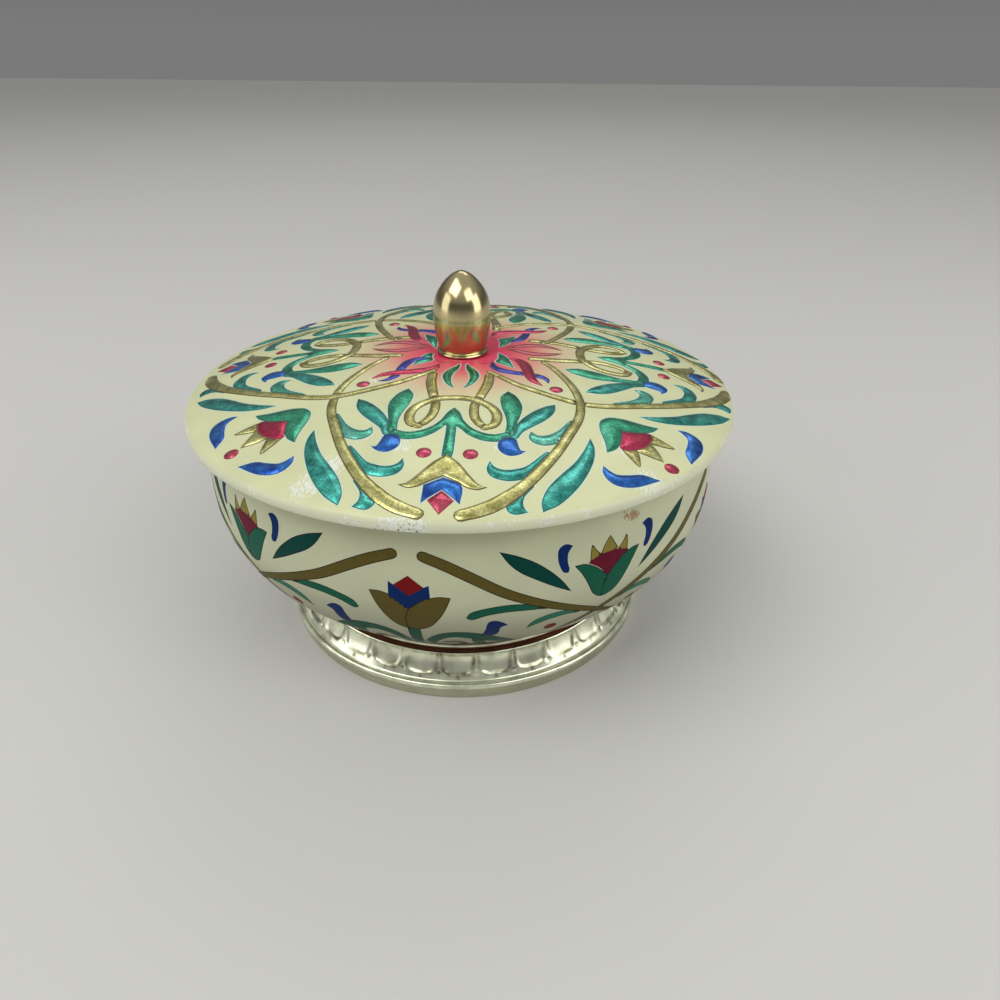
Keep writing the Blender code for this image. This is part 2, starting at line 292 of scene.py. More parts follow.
def through(points, step=STEP_MM):
    """Evenly spaced points on a smooth curve through the given ones."""
    points = [np.array(p, float) for p in points]
    if len(points) == 2:
        points = [points[0], (points[0] + points[1]) / 2, points[1]]
    padded = [2 * points[0] - points[1], *points, 2 * points[-1] - points[-2]]
    fine = []
    for a, b, c, d in zip(padded, padded[1:], padded[2:], padded[3:]):
        for t in np.linspace(0, 1, 12, endpoint=False):
            fine.append(0.5 * (2 * b + (c - a) * t + (2 * a - 5 * b + 4 * c - d) * t ** 2
                               + (3 * b - a - 3 * c + d) * t ** 3))
    fine = np.array([*fine, points[-1]])
    along = np.concatenate([[0], np.cumsum(np.hypot(*np.diff(fine, axis=0).T))])
    places = np.linspace(0, along[-1], max(2, round(along[-1] / step)) + 1)
    return np.stack([np.interp(places, along, fine[:, 0]), np.interp(places, along, fine[:, 1])], axis=1)


def motif(ink, layer, *sides):
    """A closed outline from sides that meet in corners; each side is a list of (across, out) points."""
    loop = []
    for k, side in enumerate(sides):
        closing = sides[(k + 1) % len(sides)][0]
        loop.append(through([*side, closing])[:-1])
    return {"ink": ink, "layer": layer, "loop": np.concatenate(loop), "spine": np.empty((0, 2))}


def strap(ink, layer, stations):
    """A band with round ends along stations of (across, out, half width)."""
    line = through([s[:2] for s in stations])
    along = np.concatenate([[0], np.cumsum(np.hypot(*np.diff(line, axis=0).T))])
    marks = np.concatenate([[0], np.cumsum(np.hypot(*np.diff([s[:2] for s in stations], axis=0).T))])
    half = np.interp(along / along[-1], marks / marks[-1], [s[2] for s in stations])
    run = np.gradient(line, axis=0)
    run /= np.hypot(*run.T)[:, None]
    side = np.stack([-run[:, 1], run[:, 0]], axis=1)
    left, right = line + side * half[:, None], line - side * half[:, None]
    caps = []
    for centre, way, width in ((line[-1], run[-1], half[-1]), (line[0], -run[0], half[0])):
        out = np.array([-way[1], way[0]])
        round_end = [cos(a) * out + sin(a) * way for a in np.linspace(0, pi, 6)[1:-1]]
        caps.append([centre + width * p for p in round_end])
    loop = np.concatenate([left, caps[0], right[::-1], caps[1]])
    return {"ink": ink, "layer": layer, "loop": loop, "spine": line}


def berry(ink, layer, centre, radius):
    """A round dot."""
    angles = np.linspace(0, 2 * pi, 18, endpoint=False)
    loop = np.array(centre) + radius * np.stack([np.cos(angles), np.sin(angles)], axis=1)
    return {"ink": ink, "layer": layer, "loop": loop, "spine": np.array([centre], float)}


def changed(shape, move, layer=0):
    """A copy of a motif with its points moved by a function."""
    moved = {"loop": move(shape["loop"]), "spine": move(shape["spine"])}
    return {**shape, **moved, "layer": shape["layer"] + layer}


def mirror(points):
    """The other half of a symmetric motif."""
    return points * np.array([-1.0, 1.0])


def both(shapes):
    """A list of motifs, and their mirrored copies."""
    return [*shapes, *[changed(s, mirror) for s in shapes]]


def turned(angle):
    """A turn about the pattern's centre; a positive angle goes from out towards across."""
    c, s = cos(radians(angle)), sin(radians(angle))
    return lambda points: points @ np.array([[c, -s], [s, c]])


print("outline helpers ready")

# %% [markdown]
# ## Motifs of the lid
# Four motifs stand round the lid, each a lyre of gold straps with a flower in it, and four tulips stand
# between them. Only the right half of a motif is drawn. Out is the way from the knob to the rim.

# %% Half a lyre motif
STRAP_OUTER = [(5.6, 91.1, 1.9), (10.5, 89.2, 2.25), (16.0, 85.4, 2.2), (23.0, 77.7, 1.8), (29.6, 66.6, 1.65),
               (34.4, 55.4, 1.55), (37.4, 46.5, 1.5), (38.1, 38.1, 1.45)]
STRAP_TO_SIDE = [(36.9, 30.3, 1.45), (34.2, 22.6, 1.4), (30.2, 14.4, 1.3), (26.9, 9.6, 1.1)]
STRAP_TO_FRONT = [(36.0, 30.0, 1.45), (31.6, 20.2, 1.4), (27.4, 14.5, 1.3), (22.6, 9.2, 1.1)]

half_lyre = [
    motif("green", 1, [(15.6, 34.0), (18.3, 37.0), (20.2, 42.5), (20.0, 47.5), (18.9, 53.0), (18.0, 59.0)],
          [(15.4, 59.6), (15.9, 54.0), (15.4, 49.5), (14.0, 44.0), (13.5, 38.2)]),
    motif("teal", 0, [(30.4, 40.2), (30.0, 45.0), (27.5, 49.6), (23.9, 53.6), (20.8, 57.0), (19.0, 60.6)],
          [(16.0, 59.6), (18.2, 54.6), (20.6, 49.8), (23.6, 45.6), (27.2, 42.0)]),
    motif("blue", 2, [(15.5, 60.2), (13.9, 62.6), (14.2, 66.0), (16.8, 68.2), (19.8, 67.6)],
          [(22.1, 65.4), (20.4, 65.6), (19.6, 63.2), (18.6, 60.4)]),
    motif("aqua", 0, [(23.1, 56.3), (25.2, 57.9), (28.2, 57.1), (31.2, 54.3), (35.2, 48.2)],
          [(34.6, 55.6), (31.4, 60.2), (28.9, 61.8), (26.5, 62.4), (24.0, 61.6), (22.5, 59.4)]),
    motif("teal", 0, [(12.0, 70.9), (13.3, 73.1), (15.9, 74.1), (19.0, 73.5), (22.4, 71.6), (28.0, 64.8)],
          [(28.2, 70.0), (23.4, 75.8), (20.3, 77.6), (16.7, 78.3), (12.9, 77.2), (11.3, 74.3)]),
    motif("teal", 0, [(20.8, 80.0), (18.4, 82.8), (17.0, 85.6), (17.4, 88.5), (19.5, 89.8)],
          [(23.0, 88.6), (21.6, 86.6), (21.8, 83.5), (24.4, 79.0)]),
    motif("teal", 0, [(40.3, 56.2), (41.3, 60.6), (40.9, 66.0), (39.0, 72.0), (35.8, 78.4), (31.4, 84.4)],
          [(26.7, 88.1), (26.4, 84.0), (28.3, 78.7), (31.8, 73.4), (35.2, 68.6), (37.8, 63.4), (39.3, 59.4)]),
    berry("red", 0, (6.5, 68.6), 2.2),
    strap("gold", 1, [(9.3, 23.0, 1.6), (9.0, 30.0, 1.75), (7.5, 37.4, 1.6), (6.1, 43.0, 1.5),
                      (5.9, 47.0, 1.5), (6.5, 51.0, 1.5), (8.2, 54.4, 1.4), (9.9, 55.8, 1.2)]),
]
print("half a lyre:", len(half_lyre), "motifs")

# %% [markdown]
# ## Its middle
# What lies on the motif's own axis is drawn whole: the loop that the two straps tie, a green spray under
# it, and a flower of gold, blue and red at the rim.

# %% The middle of a lyre motif
whole_lyre = [
    strap("gold", 3, [(-9.6, 56.2, 1.2), (-12.2, 54.4, 1.5), (-13.0, 50.2, 1.6), (-11.8, 46.0, 1.6),
                      (-8.8, 42.6, 1.6), (-4.8, 40.4, 1.6), (0, 39.8, 1.6), (4.8, 40.4, 1.6),
                      (8.8, 42.6, 1.6),
                      (11.8, 46.0, 1.6), (13.0, 50.2, 1.6), (12.2, 54.4, 1.5), (9.6, 56.2, 1.2)]),
    motif("green", 1, [(0, 45.6), (2.0, 48.8), (3.3, 52.6), (5.8, 56.2), (9.0, 58.3), (12.6, 59.0),
                       (16.8, 57.6)],
          [(17.2, 61.2), (13.0, 62.6), (9.0, 62.2), (5.2, 60.0), (2.8, 57.2)], [(1.5, 56.0), (1.5, 69.8)],
          [(-1.5, 69.8), (-1.5, 56.0)], [(-2.8, 57.2), (-5.2, 60.0), (-9.0, 62.2), (-13.0, 62.6),
                                         (-17.2, 61.2)],
          [(-16.8, 57.6), (-12.6, 59.0), (-9.0, 58.3), (-5.8, 56.2), (-3.3, 52.6), (-2.0, 48.8)]),
    motif("gold", 2, [(0, 69.0), (3.6, 72.4), (7.0, 77.2), (9.6, 80.3)],
          [(12.0, 81.2), (9.4, 82.4), (6.4, 81.8), (3.0, 79.6)],
          [(0, 77.9), (-3.0, 79.6), (-6.4, 81.8), (-9.4, 82.4)],
          [(-12.0, 81.2), (-9.6, 80.3), (-7.0, 77.2), (-3.6, 72.4)]),
    motif("blue", 3, [(0, 78.2), (5.1, 81.2)], [(5.1, 87.6)], [(3.6, 86.0)], [(0, 82.8)], [(-3.6, 86.0)],
          [(-5.1, 87.6)], [(-5.1, 81.2)]),
    motif("red", 4, [(0, 83.0)], [(3.6, 86.5)], [(0, 91.2)], [(-3.6, 86.5)]),
]
print("middle of a lyre:", len(whole_lyre), "motifs")

# %% [markdown]
# ## Between the lyres and round the knob
# A tulip with its head to the knob fills the room between two lyres. Round the knob a flower of leaves,
# ribbons and fine lines lies on the pink blush. Each is drawn once, and turned and mirrored later.

# %% Tulips and the flower round the knob
half_tulip = [
    motif("gold", 1, [(6.9, 76.2), (7.9, 80.2), (8.3, 84.6)], [(5.2, 82.2), (2.8, 78.6)]),
    motif("blue", 0, [(17.2, 78.6), (19.4, 80.4), (20.4, 83.6), (19.2, 86.8), (14.8, 89.6)],
          [(7.2, 91.3), (9.8, 87.2), (13.4, 85.2), (16.4, 83.2), (17.2, 80.8)]),
]
whole_tulip = [
    motif("gold", 2, [(0, 86.8), (-2.3, 82.8), (-3.4, 78.6)], [(3.4, 78.6), (2.3, 82.8)]),
    motif("crimson", 3, [(0, 71.0), (6.8, 75.8)], [(5.0, 78.4), (0, 79.6), (-5.0, 78.4), (-6.8, 75.8)]),
    motif("green", 4, [(12.0, 75.4), (9.0, 72.0), (5.6, 67.0), (2.6, 64.2), (0, 63.6), (-2.6, 64.2),
                       (-5.6, 67.0), (-9.0, 72.0)],
          [(-12.0, 75.4), (-8.6, 75.8), (-5.8, 75.0), (-3.0, 73.2)],
          [(0, 71.0), (3.0, 73.2), (5.8, 75.0), (8.6, 75.8)]),
    berry("red", 0, (0, 89.6), 2.2),
]
petal_leaf = motif("green", 0, [(1.0, 13.6), (2.4, 16.1), (4.9, 20.0), (6.0, 24.0), (5.2, 28.0), (3.6, 31.2)],
                   [(1.4, 33.4), (2.5, 30.0), (3.0, 26.1), (2.5, 22.2), (1.2, 18.3)])
petal_lines = [
    strap("line", 1, [(1.0, 13.6, 0.2), (2.4, 16.1, 0.25), (4.9, 20.0, 0.3), (6.0, 24.0, 0.3),
                      (5.2, 28.0, 0.3), (3.6, 31.2, 0.25), (1.4, 33.6, 0.15)]),
    strap("line", 1, [(1.0, 13.6, 0.2), (1.2, 18.3, 0.25), (2.5, 22.2, 0.3), (3.0, 26.1, 0.3),
                      (2.5, 30.0, 0.25), (1.4, 33.6, 0.15)]),
]
ribbons = [
    strap("plum", 0, [(9.7, 12.2, 0.4), (10.2, 15.8, 1.4), (13.0, 18.6, 1.8), (17.0, 20.0, 1.6),
                      (22.0, 20.8, 1.5), (25.6, 21.8, 1.5), (27.8, 23.8, 1.0), (28.3, 26.2, 0.25)]),
    strap("crimson", 1, [(15.2, 8.2, 0.5), (18.2, 9.2, 1.6), (20.2, 12.4, 2.1), (21.4, 17.0, 2.0),
                         (22.2, 21.4, 1.9), (23.6, 25.4, 1.5), (26.4, 28.6, 0.25)]),
]
small_leaf = motif("green", 0, [(11.2, 2.8), (13.8, 5.8), (15.2, 9.2), (16.0, 12.2)],
                   [(17.0, 16.0), (13.6, 13.8), (10.7, 11.4), (11.4, 7.8)])
far_dot = berry("red", 0, (30.8, 30.4), 2.2)
scallop = strap("line", 0, [(4.6, 10.9, 0.15), (5.6, 13.2, 0.25), (8.4, 13.0, 0.25), (9.4, 10.4, 0.15)])
print("tulip:", len(half_tulip), "+", len(whole_tulip), "ribbons:", len(ribbons))

# %% [markdown]
# ## Laying the pattern out
# The press printed and stamped the lid in one go, a hair off centre and slightly turned. Right-hand straps
# pass over left-hand ones where they cross. The two side motifs sit a little further back near the knob.

# %% The lid's pattern
PATTERN_TURN = -2.2
PATTERN_SHIFT = np.array([1.6, 1.0])
SIDE_SLIP = 2.2
SLIP_FROM = 56
SLIP_OVER = 28


def side_slip(points):
    """Moves a side motif back near the knob."""
    reach = np.hypot(*points.T)
    slip = SIDE_SLIP * np.clip((SLIP_FROM - reach) / SLIP_OVER, 0, 1)
    return points - np.stack([0 * slip, slip], axis=1)


def place_on_lid(points):
    """From the pattern's frame (across, out) to the lid's plane (x, y) in millimetres."""
    moved = turned(PATTERN_TURN)(points) + PATTERN_SHIFT
    return moved * np.array([1.0, -1.0])


def lid_pattern():
    """Every motif of the lid, in the lid's plane."""
    shapes = []
    for quarter in range(4):
        turn = turned(90 * quarter)
        is_side = quarter % 2
        own = [*both(half_lyre), *whole_lyre]
        ends = (STRAP_TO_SIDE, STRAP_TO_FRONT)[is_side]
        own += [strap("gold", 6, STRAP_OUTER + ends), changed(strap("gold", 5, STRAP_OUTER + ends), mirror)]
        own += both([{**petal_leaf, "ink": "petal" if is_side else "green"}])
        if is_side:
            own += both(petal_lines)
        own = [changed(s, (lambda p: side_slip(turn(p))) if is_side else turn) for s in own]
        between = [*both(half_tulip), *whole_tulip]
        own += [changed(s, lambda p: turn(turned(45)(p))) for s in between]
        own += [changed(s, turn) for s in ribbons]
        own += [changed(s, lambda p: turn(turned(-90)(mirror(p)) if is_side else p))
                for s in (small_leaf, scallop, far_dot)]
        shapes += own
    return [changed(s, place_on_lid) for s in shapes]


lid_shapes = sorted(lid_pattern(), key=lambda s: s["layer"])
print("lid pattern:", len(lid_shapes), "motifs")

# %% [markdown]
# ## From outlines to a surface
# A Delaunay triangulation fills a plane with well-shaped triangles and keeps every outline as an edge.
# Rows of points a little inside each outline carry the printed key line and the rounding of the stamped
# relief. Each face then looks up the topmost motif that it lies in, and takes that ink.

# %% Distances to outlines
KEY_LINE = 0.28
ROWS = (KEY_LINE, 0.8, 1.5, 2.3, 3.2)
HALO = 0.32


def nearest(points, loop):
    """Distance of each point to a closed outline."""
    start, run = loop, np.roll(loop, -1, axis=0) - loop
    away = points[:, None] - start[None]
    share = np.clip((away * run).sum(2) / np.maximum((run * run).sum(1), 1e-9), 0, 1)
    gap = away - share[..., None] * run
    return np.sqrt((gap * gap).sum(2).min(1))


def inside(points, loop):
    """Whether each point lies in a closed outline."""
    x, y = points.T
    result = np.zeros(len(points), bool)
    for (x1, y1), (x2, y2) in zip(loop, np.roll(loop, -1, axis=0)):
        if y1 != y2:
            result ^= ((y1 > y) != (y2 > y)) & (x < (x2 - x1) * (y - y1) / (y2 - y1) + x1)
    return result


def survey(points, shapes, reach=4.0):
    """For each point: the topmost motif that it lies in, and its distance to the nearest visible outline."""
    top = np.full(len(points), -1)
    depth = np.full(len(points), reach)
    for k, shape in enumerate(shapes):
        low, high = shape["loop"].min(0) - reach, shape["loop"].max(0) + reach
        near = np.flatnonzero(((points > low) & (points < high)).all(1))
        if not len(near):
            continue
        gap = nearest(points[near], shape["loop"])
        within = inside(points[near], shape["loop"])
        top[near[within]] = k
        depth[near] = np.where(within, gap, np.minimum(depth[near], gap))
    return top, depth


def rows_inside(shape, rows):
    """Points along a motif's outline moved in by each row's distance, where there is room."""
    loop = shape["loop"]
    run = np.roll(loop, -1, axis=0) - np.roll(loop, 1, axis=0)
    run /= np.maximum(np.hypot(*run.T), 1e-9)[:, None]
    area = (loop[:, 0] * np.roll(loop[:, 1], -1) - np.roll(loop[:, 0], -1) * loop[:, 1]).sum()
    normal = np.stack([-run[:, 1], run[:, 0]], axis=1) * np.sign(area)
    found = []
    for row in rows:
        moved = loop + normal * row
        if row > 1:
            moved = moved[::2]
        keep = inside(moved, loop) if row > 0 else ~inside(moved, loop)
        keep &= nearest(moved, loop) > 0.9 * abs(row)
        found.append(moved[keep])
    return np.concatenate(found)


def spaced(points, taken, gap):
    """Those points that keep a distance from the taken ones."""
    cells = {}
    for p in taken:
        cells.setdefault((int(p[0] // gap), int(p[1] // gap)), []).append(p)
    kept = []
    for p in points:
        i, j = int(p[0] // gap), int(p[1] // gap)
        close = (q for a in (-1, 0, 1) for b in (-1, 0, 1) for q in cells.get((i + a, j + b), ()))
        if all(hypot(p[0] - q[0], p[1] - q[1]) >= gap for q in close):
            kept.append(p)
            cells.setdefault((i, j), []).append(p)
    return kept


FILL_GAP = 1.1
SAME_POINT = 0.004


def triangulate(shapes, border, filling, rows):
    """Points and triangles of a plane with every outline kept as edges."""
    fixed, edges = list(map(tuple, border)), []
    for shape in shapes:
        first, count = len(fixed), len(shape["loop"])
        fixed += map(tuple, shape["loop"])
        edges += [(first + k, first + (k + 1) % count) for k in range(count)]
    extra = []
    for shape in shapes:
        extra += map(tuple, rows_inside(shape, rows))
        extra += map(tuple, shape["spine"][1:-1:2])
    close_rows = spaced(extra, fixed, KEY_LINE * 0.85)
    loose = spaced(filling, fixed + close_rows, FILL_GAP)
    points = [Vector(p) for p in fixed + close_rows + loose]
    coords, _, faces, _, _, _ = delaunay_2d_cdt(points, edges, [], 0, SAME_POINT)
    return np.array([tuple(c) for c in coords]), [tuple(f) for f in faces]


print("surveying tools ready")

# %% [markdown]
# ## Inks on faces
# Each colour of the print is a material slot. A face gets the ink of the motif that it lies in, the dark
# key line if it lies close to the outline, or a pale halo if it lies just outside some motifs.


# %% Inks on faces
def ink_faces(made, middles, shapes, inks, ground):
    """Gives each face its ink: ground, key line, fill or the pale halo beside a motif."""
    top, depth = survey(middles, shapes)
    slots = {}
    for name in [ground, *sorted({m for pair in inks.values() for m in pair if m})]:
        slots[name] = len(made.data.materials)
        made.data.materials.append(bpy.data.materials[name])
    halo_of = [inks[s["ink"]][2] for s in shapes]
    indices = []
    halo_hit = np.full(len(middles), "", dtype=object)
    for k, shape in enumerate(shapes):
        if halo_of[k]:
            low, high = shape["loop"].min(0) - HALO, shape["loop"].max(0) + HALO
            near = np.flatnonzero((top < 0) & ((middles > low) & (middles < high)).all(1))
            if len(near):
                hit = near[nearest(middles[near], shape["loop"]) < HALO]
                halo_hit[hit] = halo_of[k]
    for k, (owner, deep) in enumerate(zip(top, depth)):
        if owner < 0:
            indices.append(slots[halo_hit[k] or ground])
        else:
            fill, line = inks[shapes[owner]["ink"]][:2]
            indices.append(slots[line if deep < KEY_LINE else fill])
    unprinted = [0] * (len(made.data.polygons) - len(indices))
    made.data.polygons.foreach_set("material_index", indices + unprinted)


print("inking tools ready")

# %% [markdown]
# ## Lacquers, inks and metals
# Litho tinplate is printed in flat opaque inks over a white coat and varnished. On the lid the coloured
# motifs are transparent lacquers over bare tin: the metal shines through, so they behave like tinted
# metals.


# %% Transparent lacquers over tin
def lacquer(name, dark, light, rough=0.27):
    """Tinted lacquer over bright tin: cloudy colour, a fine grain, and a clear coat."""
    made, shader, place = new_material(name)
    cloud = noise(made, place, 4.0, 5.0)
    grain = noise(made, place, 0.7, 2.0)
    share = add(made, RAMP, {"Fac": cloud}, stops=[(0.34, grey(0)), (0.68, grey(1))])
    tone = add(made, MIX, {0: share, 6: linear(dark), 7: linear(light)}, **BLEND)
    speck = add(made, RAMP, {"Fac": grain}, stops=[(0.35, grey(0.72)), (0.65, grey(1.2))])
    wire(made, shader, {
        "Base Color": add(made, MIX, {0: 1.0, 6: tone, 7: speck}, **TIMES),
        "Metallic": 0.85, "Roughness": rough, "Coat Weight": 0.4, "Coat Roughness": 0.08,
        "Normal": add(made, BUMP, {"Height": grain, "Strength": 0.6, "Distance": 0.06 * MM})})


# The gold is a little smoother than the colours, so it gleams more.
lacquer("gold_lacquer_on_tin", "#A39E54", "#E6E298", 0.26)
for lacquer_name, dark_tone, light_tone in (
        ("green_lacquer_on_tin", "#1A8462", "#4CC49A"), ("teal_lacquer_on_tin", "#10786E", "#56D0BE"),
        ("aqua_lacquer_on_tin", "#38AE90", "#88E2CA"), ("blue_lacquer_on_tin", "#0F47A4", "#3A8CE2"),
        ("red_lacquer_on_tin", "#B83250", "#E0647C"), ("crimson_lacquer_on_tin", "#B8244A", "#CE3C60"),
        ("plum_lacquer_on_tin", "#2F3A9A", "#4A4FB8")):
    lacquer(lacquer_name, dark_tone, light_tone)
print("lacquers:", len([m for m in bpy.data.materials if "lacquer" in m.name]))

# %% [markdown]
# ## Flat inks
# Opaque ink hides the tin, so it has no mirror of its own and only its varnish shines. The bowl's inks
# were left nearly bare of varnish, and they carry painted shade that darkens them towards the foot.

# %% Opaque printing inks
# Painted shade on the bowl's inks grows between these two heights.
INK_SHADE_TOP = 50
INK_SHADE_BOTTOM = 26


def flat_ink(name, colour, rough=0.38, varnish=0.3, gloss=0.5, painted_low_shade=0.0):
    """Opaque printing ink under varnish, with a faint mottle, and painted shade towards the foot."""
    made, shader, place = new_material(name)
    mottle = noise(made, place, 1.2, 3.0)
    mottle = add(made, RAMP, {"Fac": mottle}, stops=[(0.3, grey(0.9)), (0.7, grey(1.08))])
    tone = add(made, MIX, {0: 1.0, 6: linear(colour), 7: mottle}, **TIMES)
    # Painted shade: the ink darkens from the girth down to the foot.
    if painted_low_shade:
        level = add(made, SPLIT, {"Vector": place}, out="Z")
        low = add(made, SPAN, {"Value": level, "From Min": INK_SHADE_TOP * MM, "From Max": INK_SHADE_BOTTOM * MM,
                               "To Max": painted_low_shade})
        tone = add(made, MIX, {0: low, 6: tone, 7: grey(0.0)}, **BLEND)
    wire(made, shader, {"Base Color": tone, "Roughness": rough, "Specular IOR Level": gloss,
                        "Coat Weight": varnish, "Coat Roughness": 0.15})


for ink_name, ink_colour in (
        ("pink_printed_petal", "#DC6478"), ("brown_key_line", "#574920"), ("dark_green_key_line", "#155A4C"),
        ("rose_brown_key_line", "#6E3434"), ("navy_key_line", "#16387E"), ("maroon_key_line", "#8A2038"),
        ("pale_misregister_halo", "#BFD9CB")):
    flat_ink(ink_name, ink_colour)
for ink_name, ink_colour in (
        ("olive_litho_ink", "#5A5024"), ("brass_litho_ink", "#857838"), ("leaf_green_litho_ink", "#155742"),
        ("sage_litho_ink", "#2F7058"), ("dark_green_litho_ink", "#053E38"), ("navy_litho_ink", "#08285E"),
        ("maroon_litho_ink", "#741414"), ("wine_litho_ink", "#621228"), ("black_green_key_line", "#0C1C16"),
        ("umber_key_line", "#2A220E")):
    flat_ink(ink_name, ink_colour, 0.45, 0.0, 0.06, painted_low_shade=0.75)
print("materials:", len(bpy.data.materials))

# %% [markdown]
# ## Wear
# Hands and other tins rubbed the lid, most of all on its front and its rim. Wear is drawn as masks: soft
# spots torn up by streaky noise, and flecks that grow denser towards the rim, kept to where the real tin
# has them.


# %% Masks for wear
def from_axis(made, place):
    """Distance from the upright axis through a place's origin."""
    flat = add(made, VECTOR, {0: place, 1: (1, 1, 0)}, operation="MULTIPLY")
    return add(made, VECTOR, {0: flat}, out="Value", operation="LENGTH")


def spot_mask(made, place, spots, grain_mm, axes=(1, 1, 0)):
    """Scratchy patches: a sum of soft spots (x, y, z, radius in mm), broken up by streaky noise."""
    total = 0.0
    for x, y, z, radius in spots:
        beside = add(made, SHIFT, {"Vector": place, "Location": (-x * MM, -y * MM, -z * MM)})
        beside = add(made, VECTOR, {0: beside, 1: axes}, operation="MULTIPLY")
        far = add(made, VECTOR, {0: beside}, out="Value", operation="LENGTH")
        soft = add(made, SPAN, {"Value": far, "From Max": radius * MM, "To Min": 1.0, "To Max": 0.0},
                   interpolation_type="SMOOTHSTEP")
        total = add(made, MATH, {0: total, 1: soft}, operation="ADD")
    streaks = add(made, SHIFT, {"Vector": place, "Rotation": (0, 0, radians(35)), "Scale": (1.0, 0.28, 1.0)})
    rough = noise(made, streaks, grain_mm, 6.0)
    torn = add(made, MATH, {0: total, 1: rough}, operation="MULTIPLY")
    return add(made, RAMP, {"Fac": torn}, stops=[(0.42, grey(0)), (0.50, grey(0.8))])


def rim_mask(made, place, start_mm, end_mm, grain_mm, level):
    """Flecks that grow denser between two radii round the upright axis, in uneven stretches."""
    far = from_axis(made, place)
    near_rim = add(made, SPAN, {"Value": far, "From Min": start_mm * MM, "From Max": end_mm * MM})
    stretches = noise(made, place, 22.0, 2.0)
    stretches = add(made, RAMP, {"Fac": stretches}, stops=[(0.42, grey(0.55)), (0.62, grey(1))])
    share = add(made, MATH, {0: near_rim, 1: stretches}, operation="MULTIPLY")
    flecks = noise(made, place, grain_mm, 6.0)
    flecks = add(made, MATH, {0: share, 1: flecks}, operation="MULTIPLY")
    return add(made, RAMP, {"Fac": flecks}, stops=[(level, grey(0)), (level + 0.05, grey(1))])


print("wear masks ready")

# %% [markdown]
# ## Cream enamel
# The ground is a baked enamel in two recipes: glossier on the lid, where it blushes to pink, and duller on
# the bowl, which carries painted shade below its belly. Wear shows the white coat under the cream, and chips
# show dark metal; the lid's paler rolled edge is partly wear and partly a painted highlight.

# %% Cream grounds
BLUSH_REACH = 50
BLUSH = [(0.28, 1.0), (0.44, 0.82), (0.60, 0.36), (0.86, 0.0)]
EDGE_FROM, EDGE_TO, EDGE_SHARE = 93.9, 94.9, 0.55
LOW_SHADE_TOP, LOW_SHADE_BOTTOM = 58, 25


def cream_ground(name, cream, rough, gloss, blush=None, scuffs=(), rust=(), bowl_low_shade=None):
    """Cream enamel that can blush pink, be scuffed or rusty, pale at its edge with wear and a painted
    highlight, or take painted shade low down.
    """
    made, shader, place = new_material(name)
    mottle = noise(made, place, 14.0, 3.0)
    mottle = add(made, RAMP, {"Fac": mottle}, stops=[(0.3, grey(0.95)), (0.7, grey(1.04))])
    colour = add(made, MIX, {0: 1.0, 6: linear(cream), 7: mottle}, **TIMES)

    def over(share, code):
        """Lays one more colour over what is there."""
        return add(made, MIX, {0: share, 6: colour, 7: linear(code)}, **BLEND)

    if blush:
        centre = (-PATTERN_SHIFT[0] * MM, PATTERN_SHIFT[1] * MM, 0)
        far = from_axis(made, add(made, SHIFT, {"Vector": place, "Location": centre}))
        share = add(made, MATH, {0: far, 1: BLUSH_REACH * MM}, operation="DIVIDE")
        colour = over(add(made, RAMP, {"Fac": share}, stops=[(at, grey(pink)) for at, pink in BLUSH]), blush)
    if scuffs:
        colour = over(spot_mask(made, place, scuffs, 0.5), "#E4E7E2")
        # The paler ring at the rolled edge is partly wear and partly a painted highlight.
        edge_wear_and_highlight = add(made, SPAN, {"Value": from_axis(made, place), "From Min": EDGE_FROM * MM,
                                "From Max": EDGE_TO * MM, "To Max": EDGE_SHARE})
        colour = over(edge_wear_and_highlight, "#D2D4C2")
        colour = over(rim_mask(made, place, 90.5, 94.4, 0.8, 0.46), "#DCDED6")
        colour = over(rim_mask(made, place, 92.5, 94.6, 0.7, 0.60), "#6B675C")
    if rust:
        colour = over(spot_mask(made, place, rust, 0.8, (1, 1, 1)), "#94703F")
    # Painted shade: the bowl's cream darkens below its belly.
    if bowl_low_shade:
        level = add(made, SPLIT, {"Vector": place}, out="Z")
        low = add(made, SPAN, {"Value": level, "From Min": LOW_SHADE_TOP * MM, "From Max": LOW_SHADE_BOTTOM * MM})
        colour = over(low, bowl_low_shade)
    dents = noise(made, place, 6.0, 2.0)
    wire(made, shader, {
        "Base Color": colour, "Roughness": rough, "Specular IOR Level": gloss,
        "Coat Weight": 0.35 * gloss, "Coat Roughness": 0.12,
        "Normal": add(made, BUMP, {"Height": dents, "Strength": 0.12, "Distance": 0.15 * MM})})


LID_SCUFFS = [(-39, -81, 0, 14), (-32, -72, 0, 11), (-26, -60, 0, 10), (-14, -66, 0, 9), (46, -60, 0, 11),
              (54, -74, 0, 16), (14, -66, 0, 8), (-27, -28, 0, 7), (28, -36, 0, 8)]
RUST_SPOTS = [(49.5, -73.6, 77.5, 5.5), (53.0, -71.2, 76.5, 4.5)]
cream_ground("cream_enamel_lid", "#CFD2A4", 0.32, 0.28, blush="#DC4160", scuffs=LID_SCUFFS)
# The bowl's cream carries painted shade in #6A6358 below its belly.
cream_ground("cream_enamel_bowl", "#C0C3A4", 0.42, 0.12, rust=RUST_SPOTS, bowl_low_shade="#6A6358")
print("cream grounds ready")

# %% [markdown]
# ## The lid
# The lid is one drawn sheet: a low dome, a tight shoulder, a rolled edge and, below, a seat and a skirt
# that drops into the mouth of the bowl. Its top is the printed and stamped face, so it is built from the
# outlines, and the plain rim and underside are spun and joined to it.

